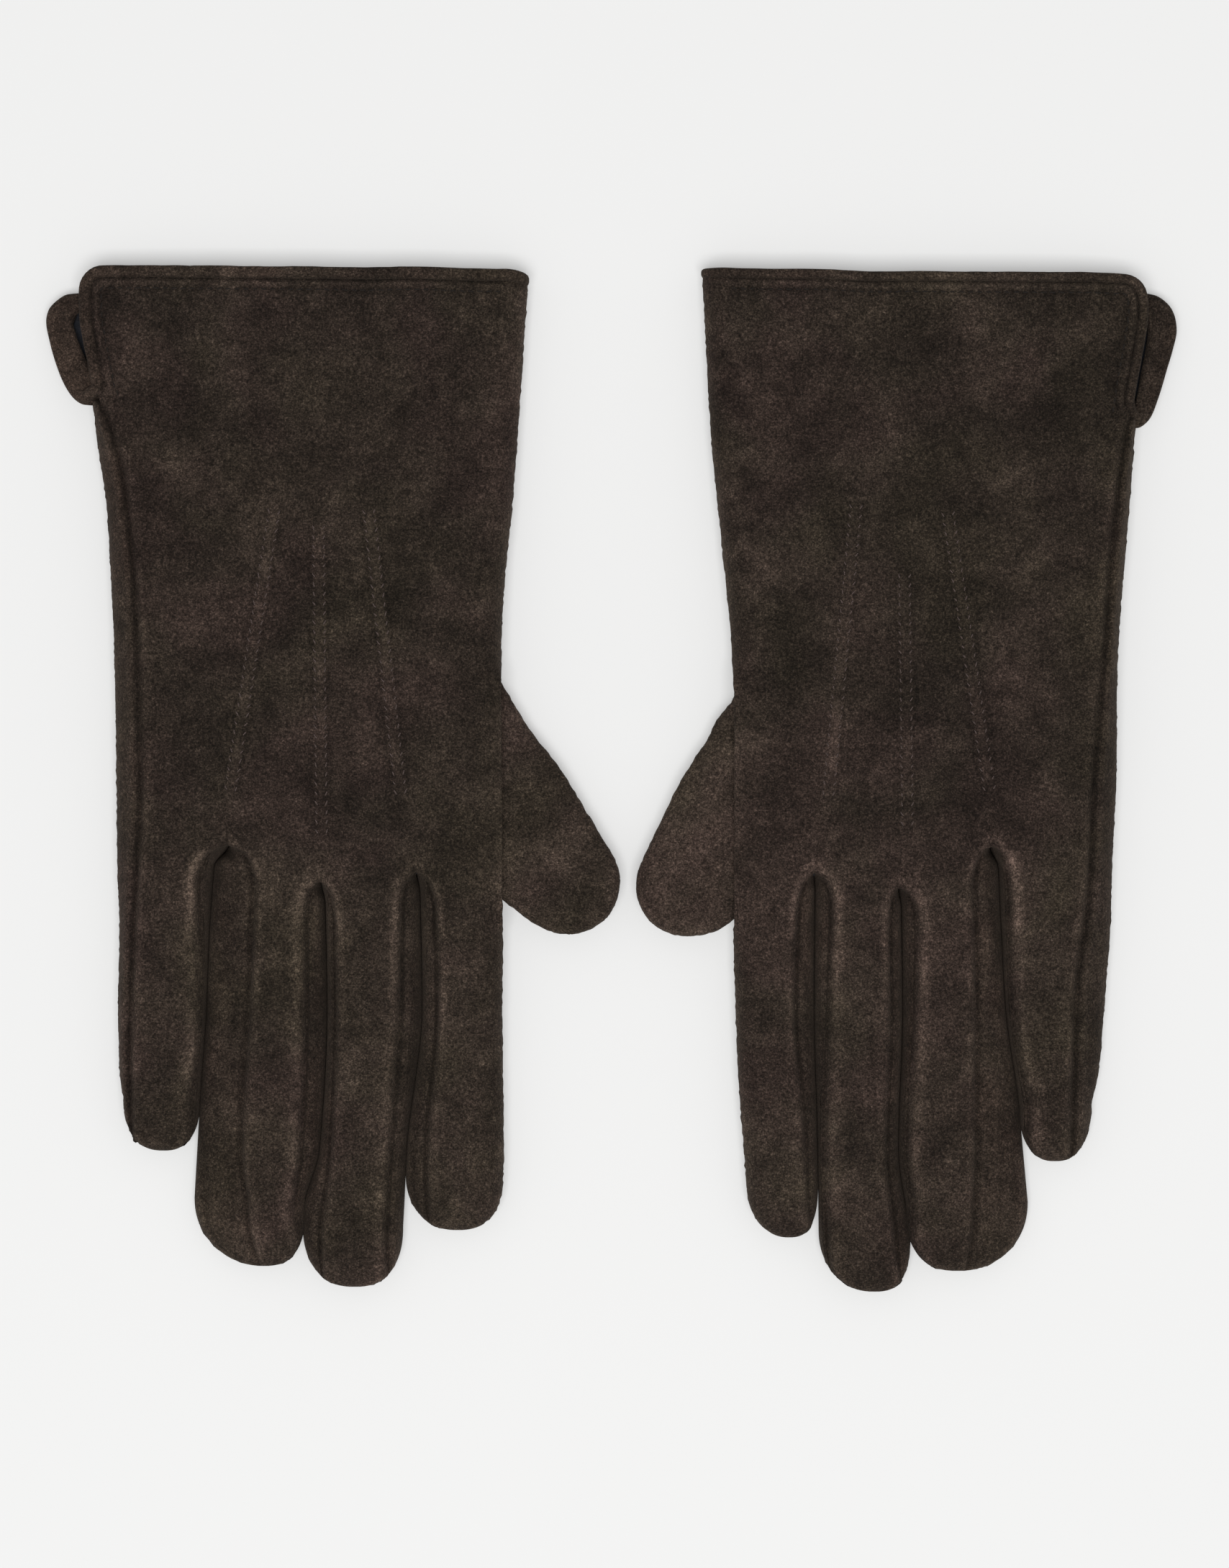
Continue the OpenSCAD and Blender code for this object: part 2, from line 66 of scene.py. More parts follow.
# How each glove lies. Tracks are (v, u) pairs along the glove. The seam is the back's outer edge, and
# above the vent's foot it is the vent's edge. Contacts are where two fingers' fourchettes meet. A
# finger's stations are (v, back's low edge, back's high edge), with 0 where the hand's edge goes on, and
# its tip starts to round at the last of them. A band is the binding's width.
# The leaf is the splayed facing of the vent, as its outer and inner outlines in (u, v), and the hook is
# where the binding turns at the vent's foot, in (u, v, z). Thumb_exit is where the hand's edge lifts, on
# the fingers' side, to let the thumb out, and point_show is how strongly the points stand out.
LAY = {
    "right": {
        "sign": 1,
        "seam": [(126, -56.5), (119.8, -56.4), (113.4, -56.3), (106.6, -55.2), (100, -53.9), (95.5, -53.0),
                 (91, -50.6), (85, -48.2), (69.4, -44.6), (42.5, -42.2), (20, -41.4), (-3.3, -41.0),
                 (-40, -42.9), (-67.7, -43.8), (-82, -43.6)],
        "fold": [(126, 53.4), (105.9, 52.3), (84.7, 50.9), (67.1, 49.6), (49.5, 47.8), (31.9, 46.9),
                 (14.3, 47.0), (-38.5, 47.3), (-56, 47.1), (-91, 47.5), (-97, 47.3)],
        "outer": [(126, -57.0), (113, -59.4), (105, -58.6), (100, -57.0), (95.5, -55.0), (91, -53.2),
                  (84.7, -52.6), (67.1, -50.0), (49.5, -48.9), (31.9, -48.1), (14.3, -47.7),
                  (-20.9, -47.3), (-38.5, -46.8), (-56, -47.2), (-70, -46.9), (-79, -45.8)],
        "hem": [(-56, 125.5), (-20, 125.3), (48.5, 124.4), (51.5, 123.8), (54, 122.2)],
        "foot": 92.5,
        "band": 3.0,
        "thumb_exit": (-39.2, -35.2),
        "leaf": ([(-52.0, 91.2), (-55.4, 91.5), (-57.3, 92.5), (-59.5, 95.1), (-61.8, 99.8),
                  (-63.9, 106.6), (-64.9, 112.2), (-64.4, 114.7), (-62.2, 117.3), (-59.5, 118.8),
                  (-54.6, 119.2)],
                 [(-51.0, 92.0), (-51.6, 95.0), (-52.9, 98.4), (-54.4, 101.4), (-56.0, 105.0),
                  (-57.6, 109.4), (-58.2, 112.0), (-57.4, 113.7), (-53.8, 114.6)]),
        "hook": [(-57.4, 95.0, 4.4), (-56.4, 93.9, 5.8), (-54.9, 93.4, 7.0), (-53.5, 94.2, 8.0)],
        "crotches": [(-16.3, -20.1), (-25.3, 2.5), (-22.8, 25.9)],
        "contacts": [[(-20, -23.6), (-40, -25.0), (-56, -25.6), (-79, -27.2), (-93, -28.0)],
                     [(-28, 3.6), (-56, 4.1), (-91, 2.2), (-105, -1.6), (-120, -2.4)],
                     [(-28, 26.9), (-56, 27.4), (-91, 23.6), (-104, 23.0), (-115, 22.4)]],
        "points": [((-2.4, -18.8), (64.9, -8.4)), ((-12.9, 3.3), (61.0, 2.5)),
                   ((-3.3, 22.5), (64.9, 14.8))],
        "point_show": 1.0,
        "fingers": {
            "little": {"stations": [(-30, 0, -26.8), (-56, 0, -26.2), (-79, 0, -28.6)],
                       "tip": (-91.3, -35.9)},
            "ring": {"stations": [(-30, -13.6, -0.6), (-56, -14.8, -0.5), (-91, -16.7, -1.9),
                                  (-103, -15.4, -3.4)],
                     "tip": (-119.6, -11.6)},
            "middle": {"stations": [(-30, 6.0, 23.0), (-56, 6.3, 22.5), (-91, 4.9, 20.2),
                                    (-110, 2.6, 19.0)],
                       "tip": (-124.7, 10.9)},
            "index": {"stations": [(-30, 30.6, 0), (-56, 31.2, 0), (-91, 28.5, 0), (-97, 28.4, 0)],
                      "tip": (-110.8, 36.3)},
        },
    },
    "left": {
        "sign": -1,
        "seam": [(126, -54.8), (119.4, -54.8), (114.4, -55.1), (107.5, -54.2), (100.3, -52.9), (94, -51.8),
                 (90, -51.2), (86, -49.7), (79.5, -48.6), (53.8, -45.6),
                 (25.6, -43.5), (0.3, -41.4), (-24.9, -40.4), (-54.8, -37.3), (-83, -36.5)],
        "fold": [(126, 54.0), (84.7, 51.9), (67.1, 50.2), (49.5, 48.4), (31.9, 46.8), (14.3, 46.3),
                 (-38.5, 46.3), (-56, 45.8), (-74, 45.1), (-91, 43.8), (-99, 43.2)],
        "outer": [(126, -55.5), (112, -57.4), (105, -56.8), (98, -55.0), (92, -53.4), (86, -52.2),
                  (77.7, -51.6), (63.6, -50.5), (49.5, -49.3), (35.5, -48.2), (21.4, -47.7), (3, -47.6),
                  (-20, -46.6), (-35, -46.2), (-56, -44.7), (-70, -43.6), (-80, -41.6)],
        "hem": [(-55, 123.4), (-10, 123.7), (54, 124.8)],
        "foot": 88.5,
        "band": 2.4,
        "thumb_exit": (-38, -34.5),
        "leaf": ([(-50.4, 85.6), (-52.8, 85.8), (-54.5, 86.8), (-56.0, 88.6), (-57.6, 92.4),
                  (-58.9, 96.2), (-60.1, 100.3), (-61.5, 105.0), (-62.5, 110.0), (-62.3, 112.2),
                  (-61.4, 114.9), (-59.8, 116.9), (-57.3, 118.5), (-53.4, 119.3)],
                 [(-49.6, 86.6), (-50.6, 89.0), (-51.9, 91.5), (-52.8, 95.0), (-53.7, 100.0),
                  (-54.7, 105.0), (-55.2, 109.0), (-54.8, 112.4), (-52.6, 114.6)]),
        "hook": [(-55.4, 90.2, 4.6), (-54.2, 88.9, 5.8), (-52.6, 88.3, 7.0), (-51.2, 89.4, 8.0)],
        "crotches": [(-16.6, -16.7), (-26.7, 5.8), (-23.0, 26.6)],
        "contacts": [[(-20, -18.6), (-40, -19.6), (-56, -20.5), (-80, -23.8), (-93, -25.0)],
                     [(-29, 5.2), (-56, 4.8), (-91, 5.8), (-105, 4.0), (-120, 0.6)],
                     [(-28, 26.3), (-56, 26.5), (-91, 25.6), (-115, 25.3)]],
        "points": [((-2.4, -15.7), (64.3, -5.8)), ((-11.0, 4.2), (49.2, 4.9)),
                   ((-3.6, 23.4), (66.1, 16.7))],
        "point_show": 0.45,
        "fingers": {
            "little": {"stations": [(-30, 0, -20.8), (-56, 0, -21.6), (-80, 0, -25.6)],
                       "tip": (-93.9, -32.4)},
            "ring": {"stations": [(-30, -12.4, 1.8), (-56, -13.0, 2.3), (-91, -13.0, 4.0),
                                  (-104, -12.6, 2.6)],
                     "tip": (-120.8, -8.8)},
            "middle": {"stations": [(-30, 8.2, 22.6), (-56, 7.7, 23.4), (-91, 8.6, 24.4),
                                    (-111, 6.6, 23.6)],
                       "tip": (-125.9, 11.8)},
            "index": {"stations": [(-30, 30.4, 0), (-56, 31.2, 0), (-91, 28.4, 0), (-99, 28.2, 0)],
                      "tip": (-112.6, 32.8)},
        },
    },
}


# ---- Curves and noise ------------------------------------------------------------------------

def track(pairs):
    """A smooth curve through (place, value) pairs that doesn't swing past them."""
    x, y = np.array(sorted(pairs), float).T
    h, slope = np.diff(x), np.diff(y) / np.diff(x)
    product = slope[:-1] * slope[1:]
    total = np.where(product > 0, slope[:-1] + slope[1:], 1.0)
    m = np.concatenate([slope[:1], np.where(product > 0, 2 * product / total, 0.0), slope[-1:]])

    def at(v):
        v = np.asarray(v, float)
        i = np.clip(np.searchsorted(x, v) - 1, 0, len(h) - 1)
        t = (v - x[i]) / h[i]
        c = np.clip(t, 0, 1)
        inside = (y[i] * (2 * c ** 3 - 3 * c ** 2 + 1) + y[i + 1] * (3 * c ** 2 - 2 * c ** 3)
                  + h[i] * m[i] * (c ** 3 - 2 * c ** 2 + c) + h[i] * m[i + 1] * (c ** 3 - c ** 2))
        return inside + h[i] * (np.minimum(t, 0) * m[i] + np.maximum(t - 1, 0) * m[i + 1])
    return at


def ease(x, a, b):
    """0 where x is at a, 1 where it is at b, and smooth between."""
    t = np.clip((np.asarray(x, float) - a) / (b - a), 0, 1)
    return t * t * (3 - 2 * t)


def hump(x, middle, width):
    """1 where x is at the middle, falling to nothing over about twice the width."""
    return np.exp(-((x - middle) / width) ** 2)


def mix(a, b, s):
    """a where s is 0, and b where it is 1."""
    return a + (b - a) * s


def noise(x, y, size, seed):
    """Smooth noise from -1 to 1 over a plane, with bumps about size across."""
    table = np.random.default_rng(seed).uniform(-1, 1, (67, 67))
    x, y = np.asarray(x, float) / size + 500, np.asarray(y, float) / size + 500
    i, j = np.floor(x).astype(int), np.floor(y).astype(int)
    s, t = ease(x - i, 0, 1), ease(y - j, 0, 1)
    i, j = i % 66, j % 66
    return mix(mix(table[i, j], table[i + 1, j], s), mix(table[i, j + 1], table[i + 1, j + 1], s), t)


def lengths_along(points):
    """How far along a path each of its points is."""
    return np.concatenate([[0], np.cumsum(np.linalg.norm(np.diff(points, axis=0), axis=1))])


def through(points, count):
    """A smooth path through points, as count points at even steps."""
    points = np.array(points, float)
    lengths = lengths_along(points)
    at = np.linspace(0, lengths[-1], count)
    return np.stack([track(list(zip(lengths, column)))(at) for column in points.T], 1)


def squarer(x, power):
    """A sine or cosine changed so that the round section it draws is squarer."""
    return np.sign(x) * np.abs(x) ** power


def crowded(n, share=0.62):
    """n + 1 places from 0 to 1 that crowd towards both ends."""
    t = np.linspace(0, 1, n + 1)
    return (1 - share) * t + share * (1 - np.cos(math.pi * t)) / 2


# ---- The glove's shape -----------------------------------------------------------------------

LITTLE, INDEX = 0, 3
GROUP_COLUMNS = 30      # faces across the back of a finger
FOLD_COLUMNS = 14       # faces round the hand's edge at the index finger
WRAP_COLUMNS = 16       # faces up the side at the little finger, above the rounded foot
PALM_COLUMNS = 10       # faces across the palm of a finger
WALL_COLUMNS = 16       # faces down a fourchette
ROW_STEP = 1.0          # from row to row along the glove
TIP_ROWS = 20           # rows that close a fingertip
CUFF_V = 126.0          # the cuff's row, before it is drawn to the hem
SOLE = 0.03             # height of the leather that rests on the table
GROOVE = 1.1            # depth of a turned seam
CORNER = 6.0            # radius of the cuff's corner at the vent
BINDING_LAP = 1.3       # how far the leather stops short of the hem, within the binding
HEM_ROWS = 104          # where the rows start to draw to the hem
FOLD_R = 6.5            # radius of the hand's edge above, at the index finger
FOOT_R = 3.5            # and below
WRAP_R = 2.6            # radius of the hand's edge below, at the little finger
TIP_HEIGHT = 4.6        # height of a fingertip's foremost point
TOUCH = -0.015          # gap on each side of the line where two fingers meet: they press together
HEIGHT = track([(126, 10.4), (110, 11.0), (91, 11.8), (67, 12.8), (42, 13.6), (14, 14.0), (-12, 13.8),
                (-27, 12.6), (-42, 11.4), (-70, 10.8), (-100, 10.0), (-126, 9.6)])


def on_outside(k, high):
    """Whether that side of finger group k is the hand's own edge, not a neighbouring finger."""
    return k == (INDEX if high else LITTLE)


class Glove:
    """One glove's outlines, heights and joints."""

    def __init__(self, side):
        lay = LAY[side]
        self.side, self.sign, self.show = side, lay["sign"], lay["point_show"]
        self.x0 = MOUNTS[f"{side}_palm_rest"]["pos_m"][0] / MM
        self.seam, self.fold, self.outer = track(lay["seam"]), track(lay["fold"]), track(lay["outer"])
        hem = track(lay["hem"])
        self.hem = lambda u: hem(u) + 0.22 * noise(u, 0 * np.asarray(u, float), 13, 81 + self.sign)
        self.crotches, self.points = lay["crotches"], lay["points"]
        # the lines between the finger groups run up from the crotches, along the points, to the cuff
        self.lines = [track([crotch, low, high, (105, mix(high[1], cuff_u, 0.5)), (128, cuff_u)])
                      for crotch, (low, high), cuff_u in zip(self.crotches, self.points, (-17, 1, 20))]
        self.foot, self.leaf, self.hook = lay["foot"], lay["leaf"], lay["hook"]
        self.band, self.thumb_exit = lay["band"], lay["thumb_exit"]
        self.contacts = [track(contact) for contact in lay["contacts"]]
        self.fingers = lay["fingers"]
        for spec in self.fingers.values():
            spec["shoulder"] = spec["stations"][-1][0]
            spec["edges"] = [track([(s[0], s[i]) for s in spec["stations"]]) for i in (1, 2)]
        self.cuts = {name: self.finger_cuts(name) for name in FINGERS}

    def joint_v(self, name):
        """A joint's place along v."""
        return JOINTS[f"{self.side}_{name}"]["pos_m"][1] / MM

    def finger_cuts(self, name):
        """Where the finger's pieces begin, bend and end, along v."""
        k = FINGERS.index(name)
        near = [c[0] for c in self.crotches[max(0, k - 1):k + 1]]
        knuckle, middle = self.joint_v(f"{name}_knuckle"), self.joint_v(f"{name}_middle_joint")
        start = (near[0] if name == "little" else min(min(near), knuckle + 9)) - 0.4
        end = min(2 * knuckle - start, knuckle - 7.5)
        return {"start": start, "end": end, "split": end - 3.0, "bend": (middle + 8, middle - 8)}

    def ridged(self, e):
        """Height added at distance e from a turned seam: a groove, then a soft raised edge."""
        return 0.50 * hump(e, 1.9, 1.1) - GROOVE * hump(e, 0, 0.7)

    def group_edges(self, k, v):
        """Low and high edges of the back of finger group k, from the cuff to the tip's shoulder."""
        edges = []
        for high in (False, True):
            if on_outside(k, high):
                vent = 1.1 * ease(v, self.foot - 1, self.foot + 3)
                edges.append(self.fold(v) if high else self.seam(v) + vent)
                continue
            line = k if high else k - 1
            cv, cu = self.crotches[line]
            opened = np.clip((cv - v) / 11.0, 0, 1)
            arch = np.sqrt(1 - (1 - opened) ** 2)
            finger = mix(cu, self.fingers[FINGERS[k]]["edges"][int(high)](v), arch)
            edges.append(np.where(v >= cv, self.lines[line](v), finger))
        return edges

    def palm_edges(self, k, v):
        """Low and high edges of the palm strip of finger group k, which meet the neighbouring fingers."""
        edges = []
        for high in (False, True):
            if on_outside(k, high):
                edges.append(self.fold(v) if high else self.outer(v))
                continue
            line = k if high else k - 1
            cv, cu = self.crotches[line]
            finger = mix(cu, self.contacts[line](v) + (-TOUCH if high else TOUCH), ease(v, cv, cv - 5))
            edges.append(np.where(v >= cv, self.lines[line](v), finger))
        return edges

    def passage(self, v):
        """1 where the thumb passes out under the hand's edge."""
        return ease(v, 29, 23) * ease(v, *self.thumb_exit)

    def thumb_hole(self, v):
        """The palm's edge beside the thumb hole, which is far off where there is no hole."""
        thumb = glove_thumb(self)
        bite = np.sqrt(np.maximum(0, (THUMB_TURN + 0.8) ** 2 - (v - thumb["centre"][1]) ** 2))
        edge = self.fold(v) - FOOT_R
        hole = mix(edge, np.minimum(edge, thumb["centre"][0] - bite), ease(bite, 0, 8))
        return np.where(bite > 0, hole, np.inf)

    def hemmed(self, u, v):
        """Rows near the cuff drawn to the hem, and round the corner at the vent."""
        x = np.clip(u - self.seam(v), 0, CORNER)
        corner = CORNER - np.sqrt(CORNER ** 2 - (CORNER - x) ** 2)
        return v + (self.hem(u) - BINDING_LAP - corner - CUFF_V) * ease(v, HEM_ROWS, CUFF_V)

    def grid(self, u, v, z):
        """Rows of points, one row at each v, with the rows near the cuff drawn to the hem."""
        return np.stack([u, self.hemmed(u, v[:, None] + 0 * u), z], -1)

    def course(self, from_edge, low):
        """A line that keeps its distance from the vent's edge, the corner and the hem."""
        turn_u = self.turn_u()
        turn_v = float(self.hem(turn_u)) - CORNER
        rise = np.arange(low, turn_v, 1.0)
        arc = np.linspace(0.12, math.pi / 2 - 0.12, 8)
        r = CORNER - from_edge
        flat = np.arange(turn_u + 0.5, self.fold_start(), 1.5)
        return np.concatenate([np.column_stack([self.seam(rise) + from_edge, rise]),
                               np.column_stack([turn_u - r * np.cos(arc), turn_v + r * np.sin(arc)]),
                               np.column_stack([flat, self.hem(flat) - from_edge])])

    def turn_u(self):
        """Where the cuff's corner at the vent ends, along u."""
        return float(self.seam(119)) + CORNER

    def fold_start(self):
        """Where the cuff's fold at the thumb's side begins, along u."""
        return float(self.fold(124.0)) - FOLD_R

    def edge(self, u, v):
        """Distance in from the hem and, above the vent's foot, from the vent's edge."""
        x = u - self.seam(v) + 40 * ease(v, self.foot + 3, self.foot - 3)
        y = self.hem(u) - v
        corner = CORNER - np.hypot(np.maximum(CORNER - x, 0), np.maximum(CORNER - y, 0))
        return np.where((x < CORNER) & (y < CORNER), corner, np.minimum(x, y))

    def tuck(self, u, v):
        """Height of the raised points on the back, and their wear attribute: a painted highlight along
        each point's ridge and painted shade in the dip beside it.
        """
        z = np.zeros(np.broadcast(u, v).shape)
        wear_and_painted_light = np.zeros_like(z)
        for low, high in self.points:
            along = np.clip((v - low[0]) / (high[0] - low[0]), 0, 1)
            e = np.abs(u - mix(low[1], high[1], along))
            there = ease(v, low[0] - 2.5, low[0] + 1.5) * ease(v, high[0] + 2.5, high[0] - 1.5)
            show = there * mix(0.55, 1, self.show)
            z = z + show * (0.40 * hump(e, 0, 1.2) - 0.20 * hump(e, 1.9, 0.5))
            # painted highlight on the point's ridge and painted shade in the dip beside it
            wear_and_painted_light = wear_and_painted_light + show * (0.42 * hump(e, 0, 1.3) - 0.40 * hump(e, 2.0, 0.5))
        return z, wear_and_painted_light

    def crown(self, u, v, low, high, k, close):
        """Height of the back in finger group k, whose edges at v are low and high, and its wear attribute:
        painted highlights on the seam ridges, the puckers and the hem's ridge, partly real rubbed nap on
        the ridges, painted shade in the seams and grooves, and a tone that grows lighter towards the
        fingers.
        """
        seam, fold = self.seam(v), self.fold(v)
        s = (u - seam) / (fold - seam)
        t = np.clip((u - low) / np.maximum(high - low, 0.5), 0, 1)
        h = HEIGHT(v)
        hand = h * (1 - 0.11 * np.abs(2 * s - 1) ** 3)
        finger = h - 1.3 * np.abs(2 * t - 1) ** 2.6
        if k == LITTLE:
            finger = h - 1.3 * np.where(t > 0.5, np.abs(2 * t - 1) ** 2.6, (1 - 2 * t) ** 3)
        z = mix(hand, finger, ease(v, -2, -36))
        wear_and_painted_light = np.zeros_like(z)
        # along each seam: painted shade in the groove, and a lighter ridge beside it that is partly real
        # rubbed nap and partly painted highlight
        for high_side, e in ((False, u - low), (True, high - u)):
            ridge_wear_and_highlight_gain = 0.8
            if k == INDEX and high_side:
                continue
            elif on_outside(k, high_side):
                deep = ease(v, self.foot + 3, self.foot - 4) * (1 - ease(close, 0.75, 1))
            else:
                cv, cu = self.crotches[k if high_side else k - 1]
                deep = ease(v, cv + 0.6, cv - 2.5)
                r = np.hypot(u - cu, v - cv)
                angle = np.arctan2(v - cv, u - cu)
                pucker = np.cos(11 * angle + k) * hump(r, 2.6, 1.9) * ease(v, cv - 4, cv + 0.5)
                z = z + 0.20 * pucker - 0.9 * hump(r, 0, 1.0) * (v >= cv - 3)
                # painted highlight on the puckers' crests and in an arch round each crotch
                wear_and_painted_light = wear_and_painted_light + 0.70 * pucker + 1.0 * hump(r, 2.1, 1.2) * ease(v, cv - 3, cv + 0.5)
                ridge_wear_and_highlight_gain = 0.8 + 0.9 * np.exp(-np.maximum(cv - v, 0) / 18)
            drift = noise(v, np.full_like(v, 9.0 * k + high_side), 7.0, 20 + k)
            e = e * (1 + 0.18 * drift * ease(v, -14, -22))
            z = z + deep * self.ridged(e) * (1 + 0.25 * drift)
            # the high side's ridge gets a wider, brighter painted highlight, as if lit from that side
            place, spread, light = (2.2, 1.7, 1.0) if high_side else (1.6, 1.1, 0.7)
            ridge = light * ridge_wear_and_highlight_gain * hump(e, place, spread) * (1 + 0.6 * drift)
            wear_and_painted_light = wear_and_painted_light + deep * (ridge - 0.6 * hump(e, 0, 0.6))
        raised, points_wear_and_painted_light = self.tuck(u, v)
        # painted highlights and painted shade of the points added; the hand is darker and the fingers
        # lighter in tone
        z, wear_and_painted_light = z + raised, wear_and_painted_light + points_wear_and_painted_light - 0.20 + 0.34 * ease(v, -8, -40)
        calm = 1 - 0.45 * ease(v, -30, -60)
        z = z + calm * (0.40 * noise(u, v, 27, 3 + self.sign) + 0.20 * noise(u, v, 11, 5 + self.sign))
        z = z + 0.06 * noise(u, v, 4.2, 7 + self.sign) + 0.045 * noise(u, v, 1.9, 9 + self.sign)
        e, b = self.edge(u, v), self.band
        z = z + 0.50 * hump(e, b + 1.2, 0.7) - 0.60 * hump(e, b, 0.5) - 0.40 * hump(e, b + 2.6, 0.6)
        # painted highlight on the hem's ridge, and painted shade in the groove at the binding's edge and
        # along the stitch row
        wear_and_painted_light = wear_and_painted_light + 0.85 * hump(e, b + 1.2, 0.7) - 1.1 * hump(e, b, 0.5) - 0.6 * hump(e, b + 2.6, 0.7)
        return z, wear_and_painted_light


def tip_rows(spec):
    """Places along v of the rows that close a fingertip, and how far along each is, from 0 to 1."""
    s = np.sin(np.linspace(0, math.pi / 2, TIP_ROWS + 1)[1:])
    return spec["shoulder"] + (spec["tip"][0] - spec["shoulder"]) * s, s


def rows_down_to(glove, low):
    """Row places from the cuff down to low, the same for every group, with the cuts exactly on rows."""
    marks = {c[0] for c in glove.crotches}
    for cuts in glove.cuts.values():
        marks |= {cuts["start"], cuts["split"]}
    rows = np.arange(CUFF_V, -130.0, -ROW_STEP)
    kept = [r for r in rows if all(abs(r - m) > 0.45 for m in marks)] + sorted(marks)
    kept = sorted(kept, reverse=True)
    return np.array([CUFF_V] + [r for r in kept if CUFF_V - 0.3 > r > low + 0.3] + [low])


def tip_share(along):
    """How much of a finger's width is left at each place along its rounded tip."""
    return np.maximum(0.0, 1 - along ** 2.3) ** (1 / 2.3)


class Skin:
    """A welded surface made of grids, cut into named pieces."""

    def __init__(self):
        self.points, self.faces, self.labels, self.wears_and_painted_light = [], [], [], []
        self.count = 0

    def add(self, grid, labels, wear_and_painted_light=None):
        """grid is rows x columns x (u, v, z); labels name the piece of each row, or of each face."""
        rows, columns = grid.shape[:2]
        index = self.count + np.arange(rows * columns).reshape(rows, columns)
        quads = np.stack([index[:-1, :-1], index[1:, :-1], index[1:, 1:], index[:-1, 1:]], -1)
        self.points.append(grid.reshape(-1, 3))
        self.faces.append(quads.reshape(-1, 4))
        labels = np.array(labels, dtype=object)
        self.labels.append(np.repeat(labels, columns - 1) if labels.ndim == 1 else labels.reshape(-1))
        self.wears_and_painted_light.append(np.zeros(rows * columns) if wear_and_painted_light is None else wear_and_painted_light.reshape(-1))
        self.count += rows * columns

    def weld(self):
        """Joins the points that lie together, and drops the faces that this closes up."""
        points = np.concatenate(self.points)
        faces, labels = np.concatenate(self.faces), np.concatenate(self.labels)
        _, first, inverse = np.unique(np.round(points, 3), axis=0, return_index=True,
                                      return_inverse=True)
        faces = inverse.reshape(-1)[faces]
        a, b, c, d = faces.T
        open_faces = ~(((a == b) & (c == d)) | ((a == d) & (b == c)))
        self.p, self.f, self.l = points[first], faces[open_faces], labels[open_faces]
        self.wear_and_painted_light = np.concatenate(self.wears_and_painted_light)[first]
        self.n = normals(self.p, self.f)

    def ruffle(self, chosen, size):
        """Roughens the sides of the surface a little, as napped edges are."""
        push = np.random.default_rng(17).normal(0, size, len(self.p))
        push = push * (1 - np.abs(self.n[:, 2])) * chosen
        self.p = self.p + self.n * push[:, None]


def normals(p, f):
    """Normals at the points of a surface, from the faces round each."""
    a, b = p[f[:, 2]] - p[f[:, 0]], p[f[:, 3]] - p[f[:, 1]]
    across = np.cross(a, b)
    total = np.zeros_like(p)
    for i in range(4):
        np.add.at(total, f[:, i], across)
    length = np.linalg.norm(total, axis=1, keepdims=True)
    return total / np.maximum(length, 1e-12)


def faces_with_three_or_four(f):
    """Quads as lists, with repeated corners dropped."""
    out = []
    for q in f.tolist():
        kept = [c for i, c in enumerate(q) if c != q[i - 1]]
        if len(set(kept)) == len(kept) >= 3:
            out.append(kept)
    return out


def to_row(glove, p):
    """Glove coordinates to the row frame, in metres."""
    q = np.array(p, float)
    q[..., 0] = glove.x0 + glove.sign * q[..., 0]
    return q * MM


def new_object(name, glove, p, faces, material, vertex_normals=None, wear_and_painted_light=None):
    """A mesh object from glove coordinates."""
    mesh = bpy.data.meshes.new(name)
    if glove.sign < 0:
        faces = [f[::-1] for f in faces]
    mesh.from_pydata(to_row(glove, p).tolist(), [], faces)
    mesh.polygons.foreach_set("use_smooth", np.ones(len(mesh.polygons), bool))
    mesh.update()
    if vertex_normals is not None:
        n = np.array(vertex_normals, float)
        n[:, 0] *= glove.sign
        mesh.normals_split_custom_set_from_vertices(n.tolist())
    if wear_and_painted_light is not None:
        attribute = mesh.attributes.new("wear_and_painted_light", "FLOAT", "POINT")
        attribute.data.foreach_set("value", np.array(wear_and_painted_light, np.float32))
    mesh.materials.append(material)
    obj = bpy.data.objects.new(name, mesh)
    bpy.context.scene.collection.objects.link(obj)
    return obj


def shell(name, glove, skin, labels, material, top=0.0, thickness=LEATHER):
    """A closed sheet: the labelled part of a skin, top below its surface and thickness deep."""
    chosen = np.isin(skin.l, labels)
    used, f = np.unique(skin.f[chosen], return_inverse=True)
    f = f.reshape(-1, 4)
    p, n = skin.p[used], skin.n[used]
    count = len(used)
    directed = np.concatenate([f[:, [i, (i + 1) % 4]] for i in range(4)])
    directed = directed[directed[:, 0] != directed[:, 1]]
    key = np.sort(directed, axis=1)
    _, index, uses = np.unique(key, axis=0, return_index=True, return_counts=True)
    rim = directed[index[uses == 1]]
    sides = np.stack([rim[:, 1], rim[:, 0], rim[:, 0] + count, rim[:, 1] + count], -1)
    faces = faces_with_three_or_four(f) + faces_with_three_or_four(f[:, ::-1] + count) + sides.tolist()
    points = np.concatenate([p - n * top, p - n * (top + thickness)])
    # the sheet's inside gets painted shade
    wear_and_painted_light = np.concatenate([skin.wear_and_painted_light[used], np.full(count, -0.6)])
    return new_object(name, glove, points, faces, material, np.concatenate([n, -n]), wear_and_painted_light)


